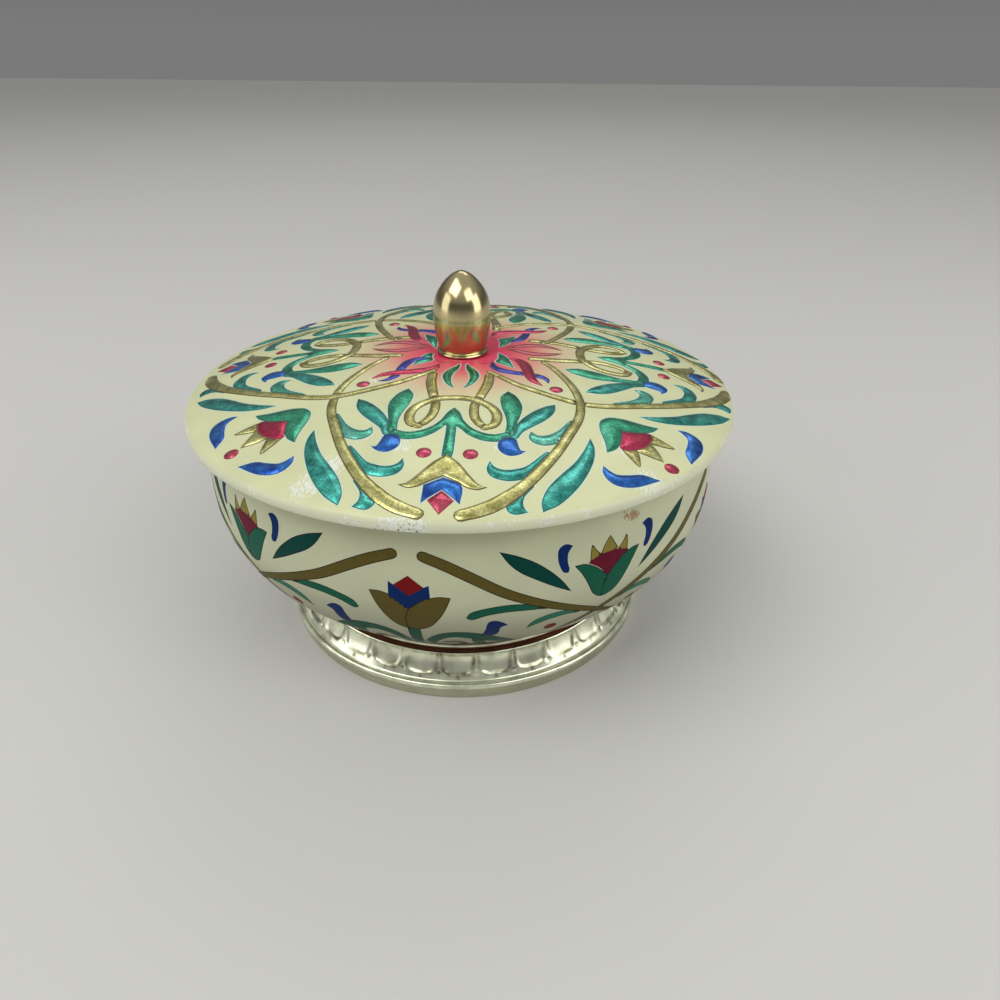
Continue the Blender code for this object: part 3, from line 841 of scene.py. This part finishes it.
# %% Lid sizes
LID_RADIUS = 95.0
SHOULDER_WIDTH = 2.7
SHOULDER_RISE = 2.7
LID_RISE = 14.45
DOME_POWER = 2.56
RIM_LEVEL = 85.92
SEAT_LEVEL = 84.64
LID_SHEET = 0.28
SKIRT_RADIUS = 86.5
SKIRT_DEPTH = 6.5
KNOB_SEAT = 9.5
DIMPLE_SLOPE = 2.8
DIMPLE_DEPTH = 1.2
RELIEF = {"gold": (0.48, 1.3), "line": (0.0, 1.0), "petal": (0.0, 1.0)}
LEAF_RELIEF = (0.62, 2.6)
EDGE_RADIUS = 94.0
AROUND = 240


def dome(radius):
    """Height of the lid's face above its rolled edge."""
    start = LID_RADIUS - SHOULDER_WIDTH
    radius = np.asarray(radius, float)
    low = SHOULDER_RISE * np.sqrt(np.maximum(0, 1 - (np.maximum(0, radius - start) / SHOULDER_WIDTH) ** 2))
    high = LID_RISE - (LID_RISE - SHOULDER_RISE) * (np.minimum(radius, start) / start) ** DOME_POWER
    dimple = DIMPLE_DEPTH * np.clip(1 - (radius - KNOB_SEAT) / DIMPLE_SLOPE, 0, 1)
    face = np.where(radius >= start, low, high - dimple)
    return np.where(radius <= KNOB_SEAT, LID_RISE - DIMPLE_DEPTH, face)


def ring(radius, count):
    """Points evenly round a circle, the first of them on +X."""
    return [(radius * cos(2 * pi * k / count), radius * sin(2 * pi * k / count)) for k in range(count)]


print("lid:", 2 * LID_RADIUS, "mm across, rising", LID_RISE, "mm above its edge")

# %% [markdown]
# ## Its printed face
# Stamped motifs stand out like low cushions, from nothing at their outline to full height a little inside
# it. Rings of points keep the shoulder round, and a triangular grid fills the plain ground between the
# motifs.

# %% The printed face of the lid
FILL_GRID = 2.6
GRID_EDGE = 87
SHOULDER_RINGS = (93.6, 93.2, 92.8, 92.3, 91.4, 90.0, 88.4)
DIMPLE_STEPS = 48
filling = []
for radius in SHOULDER_RINGS:
    filling += ring(radius, AROUND)
for radius in (KNOB_SEAT, KNOB_SEAT + DIMPLE_SLOPE):
    filling += ring(radius, DIMPLE_STEPS)
for k in range(-36, 37):
    for j in range(-42, 43):
        spot = ((k + 0.5 * (j % 2)) * FILL_GRID, j * FILL_GRID * sqrt(0.75))
        if hypot(*spot) < GRID_EDGE:
            filling.append(spot)
lid_xy, lid_faces = triangulate(lid_shapes, ring(EDGE_RADIUS, AROUND), filling, (*ROWS, -HALO))
lid_top, lid_depth = survey(lid_xy, lid_shapes)
relief_of = np.array([RELIEF.get(s["ink"], LEAF_RELIEF) for s in lid_shapes] + [(0.0, 1.0)])
rise_mm, round_mm = relief_of[lid_top].T
swell = rise_mm * (1 - (1 - np.clip(lid_depth / round_mm, 0, 1)) ** 2)
lid_z = RIM_LEVEL + dome(np.hypot(*lid_xy.T)) + swell
lid_points = np.column_stack([lid_xy, lid_z]) * MM
lid = piece_of("embossed_lid", lid_points, (), lid_faces)
print("lid face:", len(lid_xy), "points,", len(lid_faces), "triangles")

# %% [markdown]
# ## Its inks
# One table gives each colour of the drawing its fill, its key line and, for some motifs, the pale halo
# beside them.

# %% Inks of the lid
GREEN_LINE, HALO_INK = "dark_green_key_line", "pale_misregister_halo"
LID_INKS = {
    "gold": ("gold_lacquer_on_tin", "brown_key_line", None),
    "green": ("green_lacquer_on_tin", GREEN_LINE, HALO_INK),
    "teal": ("teal_lacquer_on_tin", GREEN_LINE, HALO_INK),
    "aqua": ("aqua_lacquer_on_tin", GREEN_LINE, HALO_INK),
    "blue": ("blue_lacquer_on_tin", "navy_key_line", HALO_INK),
    "plum": ("plum_lacquer_on_tin", "navy_key_line", None),
    "red": ("red_lacquer_on_tin", "maroon_key_line", None),
    "crimson": ("crimson_lacquer_on_tin", "maroon_key_line", None),
    "petal": ("pink_printed_petal", "rose_brown_key_line", None),
    "line": ("brown_key_line", "brown_key_line", None),
}
lid_middles = lid_xy[np.array(lid_faces)].mean(axis=1)
ink_faces(lid, lid_middles, lid_shapes, LID_INKS, "cream_enamel_lid")
print("lid inks:", len(lid.data.materials))

# %% [markdown]
# ## Its rim, seat and skirt
# At the edge the sheet rolls over, comes back as a narrow seat and drops as a skirt. That is a plain
# turned profile, so it is spun in the ground's enamel and joined to the printed face.

# %% Rim, seat and skirt of the lid
side = LID_RADIUS - LID_SHEET
rim = [(EDGE_RADIUS, RIM_LEVEL + float(dome(EDGE_RADIUS)))]
rim += [(r, RIM_LEVEL + float(dome(r))) for r in (94.45, 94.75, 94.93)]
rim += [(LID_RADIUS, RIM_LEVEL), (LID_RADIUS, SEAT_LEVEL + 0.35), (94.9, SEAT_LEVEL + 0.1),
        (side, SEAT_LEVEL)]
rim += [(SKIRT_RADIUS, SEAT_LEVEL), (SKIRT_RADIUS, SEAT_LEVEL - SKIRT_DEPTH)]
rim += [(SKIRT_RADIUS - LID_SHEET, z) for z in (SEAT_LEVEL - SKIRT_DEPTH, SEAT_LEVEL + LID_SHEET)]
rim += [(side, SEAT_LEVEL + LID_SHEET), (side, RIM_LEVEL)]
for radius in (94.0, 93.2, 92.3, 90.4, 86, 80, 70, 60, 50, 40, 30, 20, 12.3, 9.5, 0):
    rim.append((radius, RIM_LEVEL + float(dome(radius)) - LID_SHEET - 0.02))
lid_rim = spun("lid_rim", rim, AROUND)
lid_rim.data.materials.append(bpy.data.materials["cream_enamel_lid"])
joined(lid, lid_rim)
shade_and_ride(lid, "lid", 60)

# %% [markdown]
# ## Motifs of the bowl
# The bowl carries flat printing. Its motifs repeat five times round: an olive flower under an arch of two
# straps, and a green tulip where the arches meet. They are drawn unrolled: across is the distance round
# the widest girth, and down is the distance along the wall from the mouth.

# %% Flower, arch and leaves
half_flower = [
    motif("olive", 4, [(11.4, 24.0), (8.0, 23.8), (4.4, 25.0), (1.3, 27.4), (-0.9, 30.2)],
          [(-1.9, 34.2), (-1.3, 38.6), (1.8, 39.1), (5.1, 37.0), (7.9, 32.8), (10.0, 28.2)]),
    motif("green", 1, [(15.3, 32.0), (16.8, 29.6), (21.0, 28.1), (26.6, 27.3), (32.2, 27.8), (37.2, 29.6)],
          [(40.8, 31.6), (35.8, 30.8), (30.4, 30.4), (25.8, 30.4), (21.0, 31.3), (17.0, 33.0)]),
    motif("sage", 1, [(33.2, 40.4), (34.4, 37.0), (37.2, 34.9), (41.2, 33.9), (45.6, 34.2), (50.0, 36.0)],
          [(49.6, 37.3), (45.4, 36.5), (40.5, 37.0), (36.4, 38.6)]),
    berry("maroon", 1, (41.4, 42.6), 2.1),
    motif("navy", 2, [(20.0, 42.0), (20.9, 38.6), (21.6, 34.6), (23.6, 33.8), (25.8, 35.0)],
          [(27.4, 36.6), (25.4, 37.8), (25.0, 40.4), (23.8, 43.0)]),
    motif("green", 1, [(2.2, 49.6), (3.7, 45.7), (6.4, 42.1), (10.6, 40.0), (16.1, 40.0), (21.0, 41.8),
                       (26.0, 45.6), (30.5, 51.0), (32.5, 57.0)],
          [(28.4, 55.2), (23.4, 50.6), (18.2, 46.6), (15.6, 44.9), (12.6, 43.9), (9.6, 44.7), (7.2, 47.4),
           (5.4, 51.6), (4.4, 57.0)]),
    motif("green", 1, [(17.0, 43.5), (20.0, 47.0), (21.8, 52.0), (21.4, 58.5)], [(18.6, 54.0), (17.2, 48.5)]),
    strap("olive", 3, [(8.6, 50.0, 1.1), (12.4, 49.4, 1.3), (14.6, 52.6, 1.4), (13.0, 57.0, 1.5),
                       (8.0, 60.6, 1.6), (0, 62.0, 1.6)]),
    motif("green", 0, [(24.0, 60.0), (29.0, 61.0), (34.0, 65.0), (37.0, 71.0)], [(31.0, 69.6), (26.4, 65.6)]),
]
whole_flower = [
    motif("navy", 3, [(-5.6, 19.9), (-4.3, 20.8)], [(0, 24.3)], [(4.3, 20.8)], [(5.6, 20.1)], [(5.8, 24.8)],
          [(0, 29.8)], [(-5.8, 24.8)]),
    motif("maroon", 4, [(0, 17.3)], [(4.2, 20.9)], [(0, 24.3)], [(-4.2, 20.9)]),
    motif("green", 2, [(-1.9, 38.0), (-2.0, 50.0), (-1.8, 71.0)], [(1.8, 71.0), (1.6, 50.0), (1.7, 38.0)]),
]
BOWL_STRAP = [(4.2, 10.9, 1.65), (10.6, 13.6, 1.75), (17.6, 17.5, 1.75), (25.8, 22.7, 1.7), (33.6, 26.9, 1.6),
              (44.0, 32.2, 1.45), (50.8, 35.8, 1.35), (56.7, 39.4, 1.3), (66.0, 46.4, 1.3), (73.0, 54.0, 1.4),
              (79.0, 64.0, 1.5), (82.0, 72.0, 1.5)]
print("flower:", len(half_flower), "+", len(whole_flower), "motifs")

# %% [markdown]
# ## Where the arches meet
# A tulip hangs between two arches. Its two green petals aren't alike, so they are drawn one by one, and
# only what is alike on both sides is mirrored.

# %% Tulip of the bowl
half_print_tulip = [
    motif("brass", 2, [(6.4, 17.2), (6.0, 11.6)], [(4.4, 13.6), (2.9, 15.8)]),
    motif("navy", 1, [(11.8, 10.3), (14.0, 9.4), (16.0, 10.7), (16.2, 13.9), (15.3, 17.0), (14.3, 18.6)],
          [(13.0, 18.8), (12.7, 17.6), (13.3, 15.2), (13.2, 12.4)]),
    motif("darkgreen", 1, [(32.4, 9.2), (27.4, 10.9), (22.6, 13.5), (18.4, 17.0), (14.8, 21.0)],
          [(11.5, 26.0), (17.2, 22.6), (22.0, 19.5), (26.6, 16.4), (29.8, 13.2)]),
]
whole_print_tulip = [
    motif("brass", 2, [(-3.2, 15.6), (-1.8, 12.6)], [(0, 10.0), (1.6, 12.8), (2.6, 15.6)]),
    motif("wine", 3, [(-7.0, 17.2), (-3.8, 15.8), (0, 15.3), (3.8, 15.8)], [(7.0, 17.2), (3.0, 20.2)],
          [(0, 24.0), (-3.0, 20.2)]),
    motif("green", 4, [(-11.2, 17.1), (-8.2, 17.2), (-5.4, 18.5), (-2.6, 20.8), (0, 23.6)],
          [(0, 24.0), (0, 31.6), (-2.4, 31.2), (-4.6, 28.8), (-6.4, 25.0), (-8.6, 20.8)]),
    motif("green", 5, [(11.0, 16.8), (7.8, 16.9), (4.8, 18.2), (2.0, 20.8), (0, 23.6)],
          [(-1.2, 27.4), (-0.8, 31.8), (1.4, 31.9), (4.2, 30.0), (6.8, 25.2), (8.8, 21.0)]),
]
print("tulip of the bowl:", len(half_print_tulip), "+", len(whole_print_tulip), "motifs")

# %% [markdown]
# ## Rolling the print round the bowl
# The blank was drawn into a bowl slightly off centre, so the motifs at the front stand a little further
# apart and those on the left a little higher. The warp below does the same.

# %% The bowl's pattern
WIDEST = 90.3
GIRTH_MM = 2 * pi * WIDEST
PER_DEGREE = GIRTH_MM / 360
REPEATS = 5
PRINT_AXIS = -7.2
PRINT_OFF = 2.8


def place_on_bowl(points):
    """From the drawn print to the unrolled wall, with the warp of an off-centre blank."""
    turn = points[:, 0] / PER_DEGREE
    angle = np.radians(turn)
    apart = np.degrees(PRINT_OFF / WIDEST) * (np.sin(angle) - (np.cos(angle) - 1))
    round_by = turn + apart + PRINT_AXIS
    down = points[:, 1] + PRINT_OFF * (np.cos(angle) - 1 + np.sin(angle))
    return np.stack([round_by * PER_DEGREE, down], axis=1)


def bowl_pattern():
    """Every motif of the bowl on its unrolled wall."""
    shapes = []
    own = [*half_flower, *[changed(s, mirror, -1 if s["ink"] == "olive" else 0) for s in half_flower]]
    own += whole_flower
    own += [strap("olive", 6, BOWL_STRAP), changed(strap("olive", 5, BOWL_STRAP), mirror)]
    tulip = [*both(half_print_tulip), *whole_print_tulip]
    half_pitch = GIRTH_MM / REPEATS / 2
    own += [changed(s, lambda p: p + np.array([half_pitch, 0])) for s in tulip]
    for k in range(-3, 4):
        shift = np.array([k * 2 * half_pitch, 0])
        shapes += [changed(s, lambda p: place_on_bowl(p + shift)) for s in own]
    low, high = -GIRTH_MM / 2, GIRTH_MM / 2
    return [s for s in shapes if s["loop"][:, 0].max() > low - 1 and s["loop"][:, 0].min() < high + 1]


bowl_shapes = sorted(bowl_pattern(), key=lambda s: s["layer"])
print("bowl pattern:", len(bowl_shapes), "motifs")

# %% [markdown]
# ## The bowl
# The wall's profile is a super-ellipse below the widest girth and a gentle curve above it, with a small
# curl outwards at the mouth. The printed wall is triangulated flat and rolled up; the underside and the
# inside are spun and joined to it.

# %% The printed wall
MOUTH_LEVEL = 84.34
MOUTH_RADIUS = 87.4
WIDEST_LEVEL = 63.04
UPPER_DROP = 2.9
BELLY_DEPTH = 52.1
BELLY_POWER = 2.3
BOWL_SHEET = 0.30
FLOOR_RADIUS = 47.0
FLOOR_LEVEL = 16.69
PRINT_TOP = 1.3
PRINT_END = 76.0


def bowl_radius(level):
    """Outer radius of the bowl's wall at a level."""
    if level >= WIDEST_LEVEL:
        return WIDEST - UPPER_DROP * ((level - WIDEST_LEVEL) / (MOUTH_LEVEL - WIDEST_LEVEL)) ** 2
    return WIDEST * (1 - min(1, (WIDEST_LEVEL - level) / BELLY_DEPTH) ** BELLY_POWER) ** (1 / BELLY_POWER)


levels = np.linspace(MOUTH_LEVEL, FLOOR_LEVEL, 700)
radii = np.array([bowl_radius(z) for z in levels])
down_wall = np.concatenate([[0], np.cumsum(np.hypot(np.diff(radii), np.diff(levels)))])


def wall_at(down):
    """Radius and level at a distance down the wall."""
    return np.interp(down, down_wall, radii), np.interp(down, down_wall, levels)


WALL_STEPS = 240
FILL_ROWS = 28
FILL_COLUMNS = 218
FILL_DROP = 2.66
SEAM_STEP = 2.4
half_girth = GIRTH_MM / 2
border = [(x, PRINT_TOP) for x in np.linspace(-half_girth, half_girth, WALL_STEPS + 1)]
border += [(x, PRINT_END) for x in np.linspace(-half_girth, half_girth, WALL_STEPS + 1)]
seam_levels = np.arange(PRINT_TOP + SEAM_STEP, PRINT_END - 1, SEAM_STEP)
border += [(x, y) for x in (-half_girth, half_girth) for y in seam_levels]
wall_filling = []
for j in range(1, FILL_ROWS):
    for k in range(1, FILL_COLUMNS):
        x = -half_girth + (k + 0.5 * (j % 2)) * GIRTH_MM / FILL_COLUMNS
        wall_filling.append((x, PRINT_TOP + j * FILL_DROP))
wall_filling = [p for p in wall_filling if p[0] < half_girth - 1]
wall_xy, wall_faces = triangulate(bowl_shapes, border, wall_filling, (KEY_LINE, 1.4))


def on_wall(face):
    """Whether a triangle lies between the print's four edges."""
    x, y = wall_xy[list(face)].mean(axis=0)
    return abs(x) < half_girth and PRINT_TOP < y < PRINT_END


wall_faces = [face for face in wall_faces if on_wall(face)]
wall_r, wall_z = wall_at(np.clip(wall_xy[:, 1], PRINT_TOP, PRINT_END))
around = wall_xy[:, 0] / half_girth * pi
wall_points = np.column_stack([wall_r * np.sin(around), -wall_r * np.cos(around), wall_z]) * MM
bowl = piece_of("printed_bowl", wall_points, (), wall_faces)
bpy.ops.object.mode_set(mode="EDIT")
bpy.ops.mesh.select_all(action="SELECT")
bpy.ops.mesh.delete_loose()
bpy.ops.object.mode_set(mode="OBJECT")
print("bowl wall:", len(wall_xy), "points,", len(wall_faces), "triangles")

# %% [markdown]
# ## The inks of the bowl
# The bowl's darkest colours are their own key line, and no pale halo is put beside any motif.

# %% Inks of the bowl
BLACK_GREEN, UMBER = "black_green_key_line", "umber_key_line"
BOWL_INKS = {
    "olive": ("olive_litho_ink", UMBER, None),
    "brass": ("brass_litho_ink", UMBER, None),
    "green": ("leaf_green_litho_ink", BLACK_GREEN, None),
    "sage": ("sage_litho_ink", BLACK_GREEN, None),
    "darkgreen": ("dark_green_litho_ink", BLACK_GREEN, None),
    "navy": ("navy_litho_ink", "navy_litho_ink", None),
    "maroon": ("maroon_litho_ink", "maroon_litho_ink", None),
    "wine": ("wine_litho_ink", "wine_litho_ink", None),
}
wall_middles = wall_xy[np.array(wall_faces)].mean(axis=1)
ink_faces(bowl, wall_middles, bowl_shapes, BOWL_INKS, "cream_enamel_bowl")
print("bowl inks:", len(bowl.data.materials))

# %% [markdown]
# ## Its floor, inside and curl
# Below the print the wall runs down to a flat floor, hidden by the foot. The inside follows the wall at
# the sheet's thickness, and at the mouth the edge is curled outwards, as tin is curled where a hand can
# touch it.

# %% Floor, inside and curl of the bowl
CURL_OUT = 0.8
CURL_HALF = 0.5
under = [(0, FLOOR_LEVEL), (FLOOR_RADIUS * 0.5, FLOOR_LEVEL), (FLOOR_RADIUS, FLOOR_LEVEL)]
foot_of_wall = float(np.interp(FLOOR_RADIUS, radii[::-1], down_wall[::-1]))
for down in np.linspace(foot_of_wall, PRINT_END, 8)[1:]:
    under.append(tuple(float(v) for v in wall_at(down)))
bowl_under = spun("bowl_under", under, WALL_STEPS)

inside_line = [(0, FLOOR_LEVEL + BOWL_SHEET), (FLOOR_RADIUS * 0.5, FLOOR_LEVEL + BOWL_SHEET),
               (FLOOR_RADIUS - BOWL_SHEET, FLOOR_LEVEL + BOWL_SHEET)]
for down in np.linspace(foot_of_wall, 3.0, 34)[1:]:
    r, z = (float(v) for v in wall_at(down))
    r2, z2 = (float(v) for v in wall_at(down - 0.5))
    run = hypot(r2 - r, z2 - z)
    inside_line.append((r - (z2 - z) / run * BOWL_SHEET, z + (r2 - r) / run * BOWL_SHEET))
inside_line += [(MOUTH_RADIUS - BOWL_SHEET, MOUTH_LEVEL - 1.2), (MOUTH_RADIUS - 0.2, MOUTH_LEVEL - 0.35)]
inside_line += arc((MOUTH_RADIUS + CURL_OUT - CURL_HALF, MOUTH_LEVEL - CURL_HALF), CURL_HALF, 110, -80, 8)
inside_line += [tuple(float(v) for v in wall_at(PRINT_TOP))]
bowl_inside = spun("bowl_inside", inside_line, WALL_STEPS)
for part in (bowl_under, bowl_inside):
    part.data.materials.append(bpy.data.materials["cream_enamel_bowl"])
joined(bowl, bowl_under, bowl_inside)
shade_and_ride(bowl, "bowl", 60)

# %% [markdown]
# ## The foot
# The foot is pressed from one strip of tinplate with a pale gold lacquer: a satin flange, a bright bead, a
# flared band with 32 shallow shield-shaped hollows, and a narrow beaded neck. It is spun first, as a
# closed profile of its outer line and its back.

# %% The foot's profile
FOOT_STEPS = 640
TONGUES = 32
BAND_LOW = 6.4
BAND_HIGH = 15.0
BAND_TOP = 63.6
BAND_FLARE = 3.9
BAND_POWER = 1.55
FOOT_SHEET = 0.32


def band_radius(level):
    """Outer radius of the foot's band."""
    share = (level - BAND_LOW) / (BAND_HIGH - BAND_LOW)
    return BAND_TOP + BAND_FLARE * (1 - share) ** BAND_POWER


foot_line = [(67.5, 0.0), (68.2, 0.0), (68.7, 0.12), (68.95, 0.45), (69.25, 1.6), (69.55, 3.2), (69.8, 4.8)]
foot_line += arc((68.9, 5.45), 0.95, 0, 100, 10)
foot_line += [(68.35, 6.25), (68.1, 6.12), (67.8, 6.3)]
foot_line += [(band_radius(z), z) for z in np.linspace(6.45, 14.95, 42)]
foot_line += [(63.3, 15.2), (62.6, 15.5), (61.7, 15.8), (61.62, 16.2), (61.66, 16.75)]
foot_line += arc((62.1, 17.5), 0.65, -85, 85, 10)
foot_line += [(61.7, 18.1), (61.7, 19.4), (61.2, 20.4), (60.6, 21.0)]
behind_neck = ((60.6, 20.8), (61.2, 20.2), (61.5, 19.0), (61.5, 16.0), (63.3, 14.9))
back_line = [(r - FOOT_SHEET, z) for r, z in behind_neck]
back_line += [(band_radius(z) - FOOT_SHEET - 0.75, z) for z in (14.0, 12.0, 10.0, 8.0, 6.9)]
back_line += [(66.6, 6.0), (68.2, 5.8), (69.4, 5.1), (68.6, 0.4), (67.5, 0.32)]
foot = spun("stamped_foot", foot_line + back_line + foot_line[:1], FOOT_STEPS)
print("foot profile:", len(foot_line), "points")

# %% [markdown]
# ## Its hollows
# A stamp presses the hollows into the plain band, so the points of the spun mesh are moved inwards by how
# far they lie inside a shield's outline, with a small dart between two shields. The creases are kept on
# the mesh as a number for each point, for the painted shade that darkens the metal along them.

# %% Shield-shaped hollows
HOLLOW = 0.45
HOLLOW_ROUND = 1.5
SHIELD_HALF_TOP = 0.46
SHIELD_TAPER = 0.08
SHIELD_TOP = 14.6
SHIELD_LOW = 7.9
SHIELD_CORNER = 1.9
CORNER_POWER = 2.2
DART_LEVEL, DART_HALF_WIDE, DART_HALF_HIGH, DART_DEPTH = 8.6, 0.9, 1.15, 0.35
SIDE_CREASE, LOW_CREASE, TOP_CREASE = 0.75, 0.6, 0.3


def soft_line(gap, width):
    """A soft line along the points where the gap is nought."""
    return np.exp(-(gap / width) ** 2)


cells = np.array([v.co[:] for v in foot.data.vertices]) / MM
radius_of = np.hypot(cells[:, 0], cells[:, 1])
turn_of = np.degrees(np.arctan2(cells[:, 0], -cells[:, 1]))
height = cells[:, 2]
pitch = 360 / TONGUES
across = (turn_of / pitch + 0.5) % 1 - 0.5
arc_mm = radians(pitch) * radius_of
on_band = (height > BAND_LOW + 0.15) & (height < BAND_HIGH) & (radius_of > BAND_TOP - 0.2)

rise = np.clip((height - SHIELD_LOW) / SHIELD_CORNER, 0, 1)
taper = SHIELD_TAPER * np.clip((SHIELD_TOP - height) / (SHIELD_TOP - SHIELD_LOW), 0, 1)
half_wide = (SHIELD_HALF_TOP - taper) * np.sqrt(np.clip(1 - (1 - rise) ** CORNER_POWER, 0, 1))
side_gap = (half_wide - np.abs(across)) * arc_mm
edge_gap = np.minimum(side_gap, np.minimum(SHIELD_TOP - height, (height - SHIELD_LOW) * 1.2))
shield = HOLLOW * (1 - (1 - np.clip(edge_gap / HOLLOW_ROUND, 0, 1)) ** 2)
beside_dart = np.abs(np.abs(across) - 0.5) * arc_mm / DART_HALF_WIDE
dart = 1.0 - np.hypot(beside_dart, (height - DART_LEVEL) / DART_HALF_HIGH)
press = np.where(on_band, shield + DART_DEPTH * np.clip(dart, 0, 1), 0)
moved = cells.copy()
moved[:, :2] *= (1 - press / np.maximum(radius_of, 1))[:, None]
foot.data.vertices.foreach_set("co", (moved * MM).ravel())

# Where painted shade darkens the band: beside each shield, under it, at its top and in the darts.
low_line = soft_line(height - SHIELD_LOW - 0.4, LOW_CREASE) * (np.abs(across) < 0.3)
creases = (soft_line(side_gap, SIDE_CREASE), low_line, 0.7 * soft_line(height - SHIELD_TOP, TOP_CREASE),
           np.clip(1.5 * dart, 0, 1))
crease_shade = np.where(on_band, np.max(creases, axis=0), 0)
shadow = foot.data.attributes.new("crease_shade", "FLOAT", "POINT")
shadow.data.foreach_set("value", crease_shade.astype(np.float32))
foot.data.update()
print("hollows pressed to", round(float(press.max()), 2), "mm")

# %% [markdown]
# ## Its metal
# The band is worn bright and the flange is satin, where it rubs on what it stands on. A gentle bump gives
# the waviness of thin stamped sheet, without which the reflections would be too perfect.


# %% The foot's metal
def polished(name, tint, rough, dark=None, metal=1.0, cloudy=0.92):
    """Lacquered bright metal with the faint waviness of stamped sheet, and painted shade in its creases."""
    made, shader, place = new_material(name)
    cloud = add(made, RAMP, {"Fac": noise(made, place, 7.0, 3.0)},
                stops=[(0.34, grey(cloudy)), (0.6, grey(1.05))])
    colour = add(made, MIX, {0: 1.0, 6: linear(tint), 7: cloud}, **TIMES)
    if dark:
        # Painted shade: the pressed creases darken towards the dark colour, in patches.
        creased = add(made, "ShaderNodeAttribute", out="Fac", attribute_name="crease_shade")
        patchy = add(made, RAMP, {"Fac": noise(made, place, 5.5, 3.0)},
                     stops=[(0.36, grey(0.12)), (0.62, grey(1.0))])
        crease_shade_share = add(made, MATH, {0: creased, 1: patchy}, operation="MULTIPLY")
        colour = add(made, MIX, {0: crease_shade_share, 6: colour, 7: linear(dark)}, **BLEND)
    waves = noise(made, place, 3.2, 1.0)
    wire(made, shader, {
        "Base Color": colour, "Metallic": metal, "Roughness": rough,
        "Normal": add(made, BUMP, {"Height": waves, "Strength": 0.4, "Distance": 0.06 * MM})})
    return made


FLANGE_TOP, FLANGE_EDGE = 4.7, 68.8
NECK_RINGS, NECK_EDGE = ((15.3, 16.8), (18.2, 20.5)), 61.3
# The bright band's creases take painted shade in #6C6646.
foot.data.materials.append(polished("bright_gold_lacquered_tinplate", "#F6FADC", 0.22, "#6C6646", 0.72, 0.66))
foot.data.materials.append(polished("satin_gold_lacquered_tinplate", "#C6C6AC", 0.38))
# The neck's brown is painted shade and painted reflection.
foot.data.materials.append(polished("brown_shadowed_neck_metal", "#744A3C", 0.32))
for face in foot.data.polygons:
    level = face.center.z / MM
    reach = hypot(face.center.x, face.center.y) / MM
    if level < FLANGE_TOP and reach > FLANGE_EDGE:
        face.material_index = 1
    elif reach > NECK_EDGE and any(low < level < high for low, high in NECK_RINGS):
        face.material_index = 2
shade_and_ride(foot, "foot", 50)

# %% [markdown]
# ## The knob
# An acorn-shaped knob of thin brass-gold plate stands in the dimple of the lid. Its lower half is a plain
# cup that widens upwards to a soft crease, and its upper half is an ogive with a blunt point.

# %% Acorn knob
KNOB_LEVEL = 99.47
LIP_LEVEL = KNOB_LEVEL + 1.2
CREASE_LEVEL = KNOB_LEVEL + 12.0
acorn = [(0, 0), (8.7, 0), (8.9, 0.15), (8.95, 0.5), (8.75, 0.85), (8.2, 1.05), (8.0, 1.4)]
cup = [(8.0, 1.4), (8.5, 3.0), (8.95, 5.0), (9.4, 7.5), (9.8, 10.0), (9.97, 11.9)]
crown = [(9.95, 12.1), (9.9, 14.2), (9.67, 16.5), (9.33, 18.3), (8.75, 20.0), (7.5, 22.3), (5.7, 24.6),
         (3.5, 26.6), (1.7, 27.6)]
acorn += [tuple(p) for p in through(cup, 0.5)[1:]]
acorn += [tuple(p) for p in through(crown, 0.5)]
acorn += [(1.2, 27.78), (0.6, 27.9), (0, 27.93)]
knob = spun("acorn_knob", [(float(r), KNOB_LEVEL + float(z)) for r, z in acorn], 96)
knob.data.materials.append(polished("brass_gold_plated_knob", "#C2B488", 0.17))
knob.data.materials.append(polished("deep_gold_plated_cup", "#C2B67C", 0.26))
for face in knob.data.polygons:
    face.material_index = int(LIP_LEVEL < face.center.z / MM < CREASE_LEVEL)
shade_and_ride(knob, "finial", 35)
